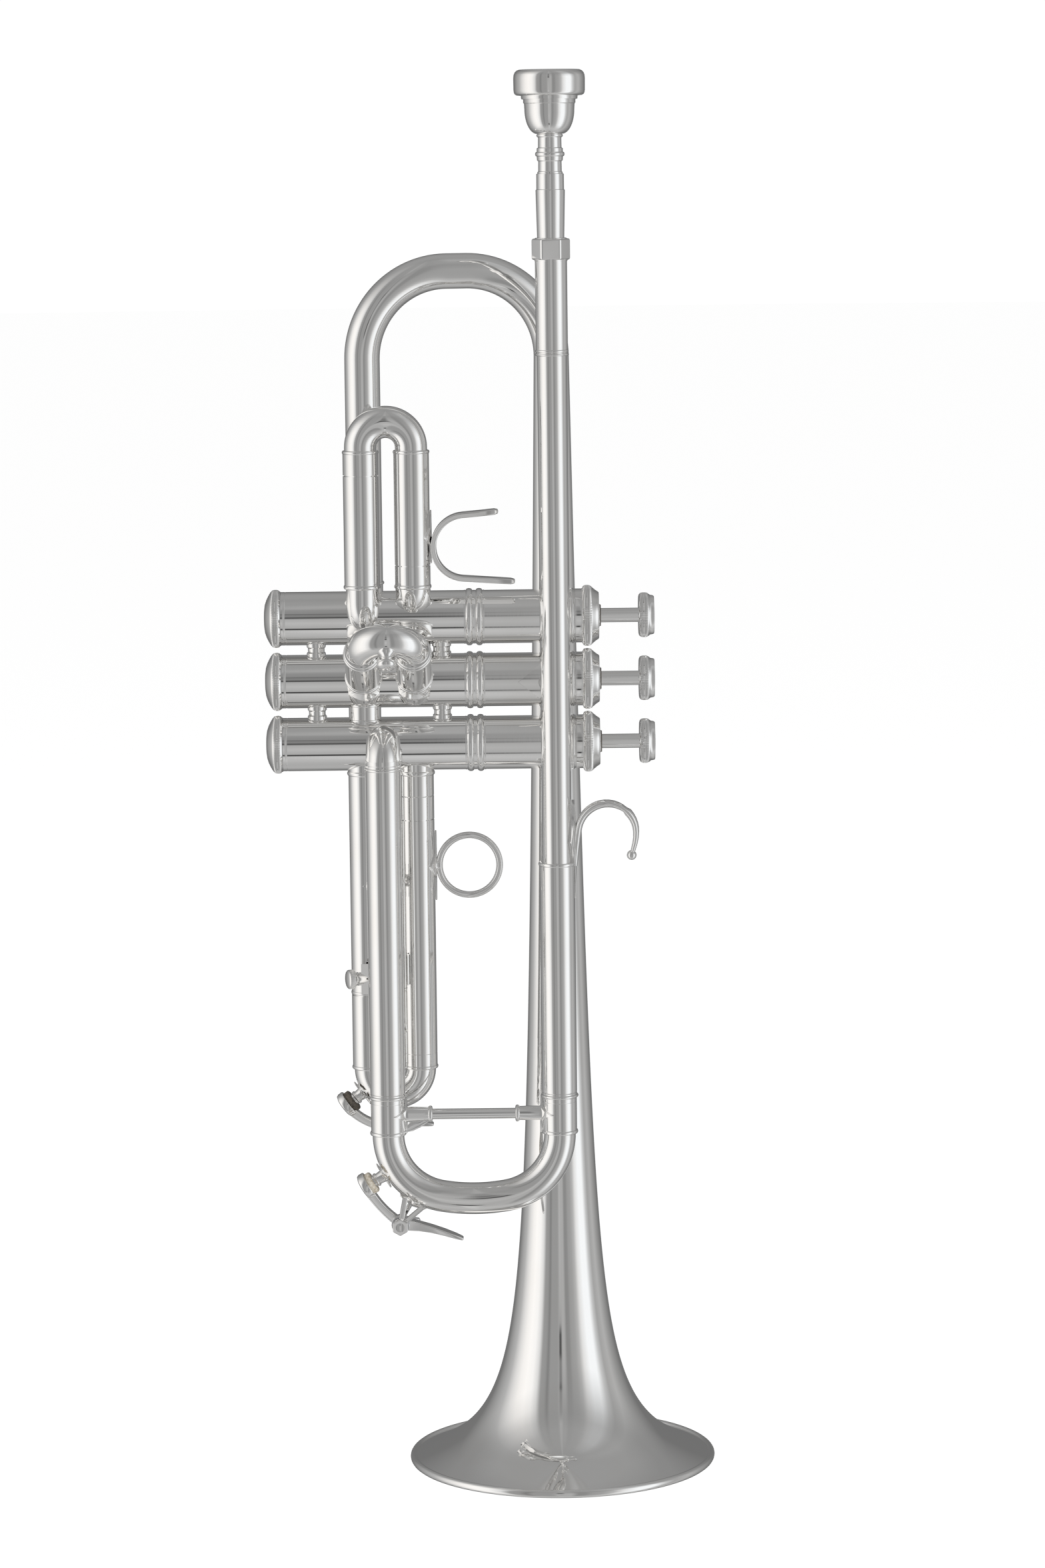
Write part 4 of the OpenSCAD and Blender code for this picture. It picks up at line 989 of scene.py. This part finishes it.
def make_third_slide():
    line_z, sleeve_z, ring_z, arc_z = 193.9, 262.7, 165.4, 164
    top = CASING_Z[2] - 6
    lip, seam = bulge(line_z + 0.7, OUTER_R, 1.2, 0.22), groove(272.2, OUTER_R)
    parts = [
        turned("outer", walls(line_z, top, OUTER_R, OUTER_BORE, lip), (LEGS[0], VALVE_Y, 0)),
        inner_leg(174, top, (LEGS[1], VALVE_Y, 0)),
        turned("cuff", walls(sleeve_z + 0.45, top, OUTER_R, BORE, seam), (LEGS[1], VALVE_Y, 0)),
    ]
    for part in parts:
        seated(part, 2)
    for x in LEGS:
        parts.append(ring(281.2, OUTER_R - 0.1, 1.8, 0.6, (1.0, 1.0), BORE, (x, VALVE_Y, 0)))
    silver("third_slide_outer", parts)

    parts = [slide_bow((LEGS[0], VALVE_Y, ring_z), DOWN, ring_z - arc_z)]
    parts.append(inner_leg(ring_z, 273, (LEGS[0], VALVE_Y, 0)))
    parts.append(turned("ferrule", walls(ring_z, line_z - 0.4, OUTER_R, 6.1), (LEGS[0], VALVE_Y, 0)))
    sleeve = walls(ring_z, sleeve_z, OUTER_R, OUTER_BORE, groove(170.3, OUTER_R, 0.4, 0.12))
    parts.append(turned("sleeve", sleeve, (LEGS[1], VALVE_Y, 0)))
    for x in LEGS:
        parts.append(ring(ring_z - 0.6, 6.6, 1.5, 0.55, (0.9, 1.0), FERRULE_BORE, (x, VALVE_Y, 0)))
    silver("third_slide_bow", parts, "third_slide")

    loop_x, loop_z, loop_r, wire_r = -34.2, 244.5, 11.8, 1.3
    sixteenths = [math.radians(22.5 * k) for k in range(16)]
    hoop = [(wire_r * math.sin(a), loop_r + wire_r * math.cos(a)) for a in sixteenths]
    parts = [turned("hoop", hoop + hoop[:1], (loop_x, VALVE_Y, loop_z), (0, -1, 0), 96)]
    parts += star("foot", (LEGS[1], VALVE_Y, loop_z), RIGHT, UP, OUTER_R + 0.01, 0.8, 4.9, 13.9)
    boss = [(6.8, 0), (6.8, 2.6), (7.8, 2.0), (9.0, 1.9), (9.0, 0)]
    parts.append(turned("boss", boss, (LEGS[1], VALVE_Y, loop_z), RIGHT, 32))
    silver("finger_ring", parts, "third_slide", 42)

    stop_z, guide_z, nut_z = 179.5, 237.5, 259.4
    parts = []
    for x, side in ((LEGS[0], 1), (LEGS[1], -1)):
        parts += star("flange", (x, VALVE_Y, stop_z), (side, 0, 0), UP, OUTER_R, 0.7, 5.0, 6.6)
        socket = [(6.6, 0), (6.6, 2.6), (7.6, 2.3), (9.9, 2.2), (9.9, 0)]
        parts.append(turned("socket", socket, (x, VALVE_Y, stop_z), (side, 0, 0), 32))
    rod = [(stop_z - 1.5, 0), (stop_z - 1.5, 1.1), (nut_z + 3.4, 1.1), (nut_z + 3.6, 0.9), (nut_z + 3.6, 0)]
    parts.append(turned("rod", rod, (SLIDE_X, VALVE_Y, 0), sides=24))
    hub = [(-2.6, 0), (-2.6, 2.1), (-2.3, 2.4), (2.2, 2.4), (2.6, 1.6), (2.6, 0)]
    parts.append(turned("hub", hub, (SLIDE_X, VALVE_Y, stop_z), sides=32))
    for low, high in ((nut_z, nut_z + 1.6), (nut_z + 2, nut_z + 3.4)):
        parts.append(hexagon("nut", low, high, 2.2, (SLIDE_X, VALVE_Y, 0), bite=0.2, roll=FLATS_FORWARD))
    silver("stop_rod", parts, "third_slide", 42)

    parts = star("flange", (LEGS[0], VALVE_Y, guide_z), RIGHT, UP, OUTER_R, 0.5, 3.6, 6.6)
    arm = [(6.6, 0), (6.6, 2.6), (7.4, 2.3), (8.4, 2.3), (8.4, 0)]
    parts.append(turned("arm", arm, (LEGS[0], VALVE_Y, guide_z), RIGHT, 32))
    eye = [(-2.5, 1.4), (-2.5, 2.1), (-2.2, 2.4), (2.2, 2.4), (2.5, 2.1), (2.5, 1.4), (-2.5, 1.4)]
    parts.append(turned("eye", eye, (SLIDE_X, VALVE_Y, guide_z), sides=40))
    silver("stop_guide", parts, smooth=42)


# ---- Braces and fittings ----

def make_braces():
    parts = []
    for z in BRACE_HEIGHTS:
        lead_r = LEAD_R if z > MOUTHPIPE_TOP else OUTER_R + 0.01
        bell_gap = -LEAD[1] - flare_r(z)
        parts += star("flange", (*LEAD, z), (0, 1, 0), UP, lead_r, 0.6, 5.2, 8.2)
        line = [(lead_r - 0.4, 0), (lead_r - 0.4, 3.3), (lead_r + 1.2, 2.9), (lead_r + 4, 2.7)]
        line += bulge(lead_r + 4.8, 2.7, 1.3, 0.4)
        line += [
            (lead_r + 5.5, 2.25), (bell_gap - 2.4, 2.25), (bell_gap - 1.2, 2.6), (bell_gap + 0.6, 3.2),
            (bell_gap + 0.6, 0)
        ]
        parts.append(turned("rod", line, (*LEAD, z), (0, 1, 0), 40))
    silver("bell_braces", parts, smooth=42)

    spot = (-3, VALVE_Y, CASING_Z[1])
    plate = patch("plate", (-4.5, VALVE_Y, CASING_Z[1]), (0, -1, 0), RIGHT, CASING_R, 0.55, 7.6, 9.9)
    parts = [soften(plate, 0.12)]
    line = [(CASING_R - 0.6, 0), (CASING_R - 0.6, 4.0), (CASING_R + 1, 3.2), (14.6, 3.0), (14.6, 0)]
    parts.append(turned("post", line, spot, (0, -1, 0), 40))
    silver("casing_brace", parts, smooth=42)

    start = Vector((LEGS[0], VALVE_Y, 237.5))
    reach = Vector((*TUNING, 237.5)) - start
    span = reach.length
    out = reach.normalized()
    parts = star("flange", start, out, UP, OUTER_R + 0.01, 0.6, 3.9, 6.6)
    parts += star("flange", (*TUNING, 237.5), -out, UP, OUTER_R + 0.01, 0.6, 5.0, 6.6)
    line = [
        (OUTER_R - 0.3, 0), (OUTER_R - 0.3, 3.0), (OUTER_R + 1.4, 2.6), (span - OUTER_R - 1.4, 2.6),
        (span - OUTER_R + 0.3, 3.0), (span - OUTER_R + 0.3, 0)
    ]
    parts.append(turned("bar", line, start, out, 40))
    silver("outer_slide_brace", parts, smooth=42)


def make_lyre_fitting():
    at, turn = (-73.6, -31.6, 201.8), math.radians(200)
    out = Vector((math.cos(turn), math.sin(turn), 0))
    teeth = 44
    line = [(1.6, 0), (1.6, 1.45), (5.4, 1.45), (5.45, 2.2), (6.1, 2.25), (6.2, 3.4), (6.5, 3.7)]
    line += [(6.9, 3.8), (8.4, 3.8), (8.8, 3.65), (9.1, 3.3), (9.3, 2.6), (9.5, 1.8), (9.6, 0)]
    screw = turned("lyre_screw", line, at, out, teeth * 2)
    knurl(screw, at, out, 6.7, 8.5, teeth, 0.16)
    silver("lyre_screw", [screw], "lyre_screw", 32)


def finish_cad_parts():
    """The lyre holder and the parts inside the casings keep their CAD shape and get their finishes."""
    finishes = {"lyre_box": "silver_plate", "valve_guides": "guide_plastic", "cap_felts": "felt"}
    for i in (1, 2, 3):
        finishes[f"piston_{i}"] = "monel"
        finishes[f"spring_{i}"] = "spring_steel"
    for node, finish in finishes.items():
        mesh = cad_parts[node].data
        mesh.materials.clear()
        mesh.materials.append(FINISHES[finish])


# ---- Studio ----

# The light tent, in tones of 0 to 100 at angles in degrees, some with a warm or a cool cast.
# Round the piece, from behind by the left to the front at 0 and on to the right: two tall softboxes
SOFTBOXES = [
    (-180, 44), (-152, 46), (-135, 58), (-113, 70), (-97, 87, 0.01), (-84, 96, 0.02), (-71, 100, 0.02),
    (-58, 98, 0.01), (-48, 87), (-41, 60), (-33, 58), (-28, 50), (-23, 59), (-9, 59), (-3, 66), (6, 67),
    (11, 54), (17, 55), (21, 60), (30, 63), (38, 71), (46, 89), (58, 99, -0.02), (72, 99, -0.02),
    (82, 78, -0.01), (92, 64), (108, 69), (125, 59), (152, 45), (180, 44),
]
# From straight below to straight above: the tent's wall, and the strip with the camera and its table
TENT_WALL = [(-90, 66), (-65, 73), (-35, 67), (-10, 62), (8, 55), (40, 55), (56, 59), (76, 59), (90, 57)]
CAMERA_STRIP = [
    (-90, 65), (-76, 72), (-54, 78), (-47, 72), (-44.5, 26), (-40, 26), (-37.5, 66), (-16, 72), (0, 67),
    (3.5, 62), (5.5, 33), (10, 33), (12.5, 51), (20, 49), (23, 41), (26, 53), (40, 56), (50, 64),
    (76, 63), (90, 61),
]
# How much of a softbox there is, from straight below to straight above
LEFT_BOX = [
    (-90, 0), (-62, 0.1), (-42, 0.9), (-25, 1), (20, 1), (34, 0.78), (46, 0.45), (62, 0.16), (82, 0),
]
RIGHT_BOX = [
    (-90, 0), (-62, 0.1), (-42, 0.9), (-25, 1), (12, 1), (24, 0.66), (36, 0.36), (46, 0.2), (66, 0.16),
    (82, 0),
]
BACK_BOX = [(-90, 0), (-60, 0.3), (-35, 1), (18, 1), (36, 0.15), (50, 0)]
# Where the left box gives way to the right one, the front ones to the one behind, and the strip stands
RIGHT_SIDE = [(-2, 0), (2, 1)]
BEHIND = [(-140, 1), (-110, 0), (110, 0), (140, 1)]
STRAIGHT_AHEAD = [(-6, 0), (-4.2, 1), (-0.6, 1), (0.8, 0)]
COLOUR_MIX_INPUTS = (0, 6, 7)  # the share, the first and the second colour of a Mix node
COLOUR_MIX_RESULT = 2
FLOOR_R = 14
PAPER_LIGHT, FLOOR_LIGHT = 1.02, 0.8
DISPLAY_GAMMA = 2.2


def toned(stops):
    """Stops with their tones as linear greys."""
    return [(angle, (tone / 100) ** DISPLAY_GAMMA, *cast) for angle, tone, *cast in stops]


def make_floor():
    clear()
    bpy.ops.mesh.primitive_circle_add(vertices=96, radius=FLOOR_R, fill_type="NGON", location=(0, 0, 0))
    floor = bpy.context.object
    floor.name = "floor"
    material = bpy.data.materials.new("pale_floor")
    shader = nodes_of(material)[1]
    shader.inputs["Base Color"].default_value = (0.5, 0.5, 0.5, 1)
    shader.inputs["Roughness"].default_value = 0.9
    shader.inputs["Emission Color"].default_value = (1, 1, 1, 1)
    shader.inputs["Emission Strength"].default_value = FLOOR_LIGHT
    shader.inputs["Specular IOR Level"].default_value = 0.0
    floor.data.materials.append(material)
    floor.visible_glossy = False


def make_tent(scene):
    """A world that the silver mirrors. The camera itself sees plain white paper."""
    world = bpy.data.worlds.new("light_tent")
    scene.world = world
    world.use_nodes = True
    tree = world.node_tree
    tree.nodes.clear()
    place = tree.nodes.new("ShaderNodeTexCoord")
    parts = tree.nodes.new("ShaderNodeSeparateXYZ")
    wire(tree, place, "Generated", parts, "Vector")

    def maths(operation, *values):
        node = tree.nodes.new("ShaderNodeMath")
        node.operation = operation
        for socket, value in zip(node.inputs, values):
            if isinstance(value, (int, float)):
                socket.default_value = value
            else:
                tree.links.new(value, socket)
        return node.outputs[0]

    across = maths("ARCTAN2", parts.outputs["X"], maths("MULTIPLY", parts.outputs["Y"], -1))
    around = maths("ADD", maths("DIVIDE", across, 2 * math.pi), 0.5)
    height = maths("ARCSINE", parts.outputs["Z"])
    lift = maths("ADD", maths("DIVIDE", height, math.pi), 0.5)

    def ramp(value, stops, low, span):
        node = tree.nodes.new("ShaderNodeValToRGB")
        marks = node.color_ramp.elements
        while len(marks) < len(stops):
            marks.new(0.5)
        for mark, (angle, level, *cast) in zip(marks, stops):
            warm = cast[0] if cast else 0
            mark.position = (angle - low) / span
            mark.color = (level * (1 + warm), level, level * (1 - warm), 1)
        tree.links.new(value, node.inputs["Fac"])
        return node.outputs["Color"]

    def around_ramp(stops):
        return ramp(around, stops, -180, 360)

    def lift_ramp(stops):
        return ramp(lift, stops, -90, 180)

    def mixed(share, first, second):
        node = tree.nodes.new("ShaderNodeMix")
        node.data_type = "RGBA"
        for number, colour in zip(COLOUR_MIX_INPUTS, (share, first, second)):
            tree.links.new(colour, node.inputs[number])
        return node.outputs[COLOUR_MIX_RESULT]

    front_boxes = mixed(around_ramp(RIGHT_SIDE), lift_ramp(LEFT_BOX), lift_ramp(RIGHT_BOX))
    box_share = mixed(around_ramp(BEHIND), front_boxes, lift_ramp(BACK_BOX))
    sides = mixed(box_share, lift_ramp(toned(TENT_WALL)), around_ramp(toned(SOFTBOXES)))
    tones = mixed(around_ramp(STRAIGHT_AHEAD), sides, lift_ramp(toned(CAMERA_STRIP)))

    tent = tree.nodes.new("ShaderNodeBackground")
    tree.links.new(tones, tent.inputs["Color"])
    paper = tree.nodes.new("ShaderNodeBackground")
    paper.inputs["Color"].default_value = (1, 1, 1, 1)
    paper.inputs["Strength"].default_value = PAPER_LIGHT
    rays = tree.nodes.new("ShaderNodeLightPath")
    choose = tree.nodes.new("ShaderNodeMixShader")
    tree.links.new(rays.outputs["Is Camera Ray"], choose.inputs[0])
    tree.links.new(tent.outputs[0], choose.inputs[1])
    tree.links.new(paper.outputs[0], choose.inputs[2])
    output = tree.nodes.new("ShaderNodeOutputWorld")
    tree.links.new(choose.outputs[0], output.inputs["Surface"])


def make_lamp(scene, name, spot, power):
    """A soft lamp aimed at the valves."""
    light = bpy.data.lights.new(name, "AREA")
    light.energy, light.size = power, 0.9
    lamp = bpy.data.objects.new(name, light)
    scene.collection.objects.link(lamp)
    lamp.location = spot
    aim = Vector((0, 0, 0.25)) - Vector(spot)
    lamp.rotation_euler = aim.to_track_quat("-Z", "Y").to_euler()
    lamp.visible_camera = False
    lamp.visible_glossy = False


def make_studio():
    scene = bpy.context.scene
    scene.view_settings.view_transform = "Standard"
    make_floor()
    make_tent(scene)
    make_lamp(scene, "left_softbox", (-1.5, -0.5, 0.9), 9)
    make_lamp(scene, "right_softbox", (1.5, -0.6, 0.9), 7)


def make_camera():
    aim = Vector((-0.0131, -0.020, 0.276))
    tilt, distance, roll = math.radians(7.5), 1.9, math.radians(0.65)
    camera = bpy.data.cameras.new("camera")
    camera.lens = 111.6
    camera.sensor_width = 36
    eye = bpy.data.objects.new("camera", camera)
    bpy.context.scene.collection.objects.link(eye)
    back = Vector((0, -math.cos(tilt), math.sin(tilt)))
    eye.location = aim + back * distance
    eye.rotation_mode = "QUATERNION"
    eye.rotation_quaternion = (-back).to_track_quat("-Z", "Y") @ Quaternion((0, 0, 1), -roll)
    camera.clip_start, camera.clip_end = 0.05, 60
    bpy.context.scene.camera = eye


make_camera()
make_studio()
make_bell()
make_mouthpiece()
make_leadpipe_side()
make_finger_hook()
make_casings()
make_caps()
make_spacers()
make_valves()
make_tuning_slide()
make_key("tuning_key", TUNING_KEY, "tuning_slide", "tuning_key", "cork")
make_key("third_key", THIRD_KEY, "third_slide", "third_key", "neoprene")
make_first_slide()
make_second_slide()
make_third_slide()
make_braces()
make_lyre_fitting()
finish_cad_parts()
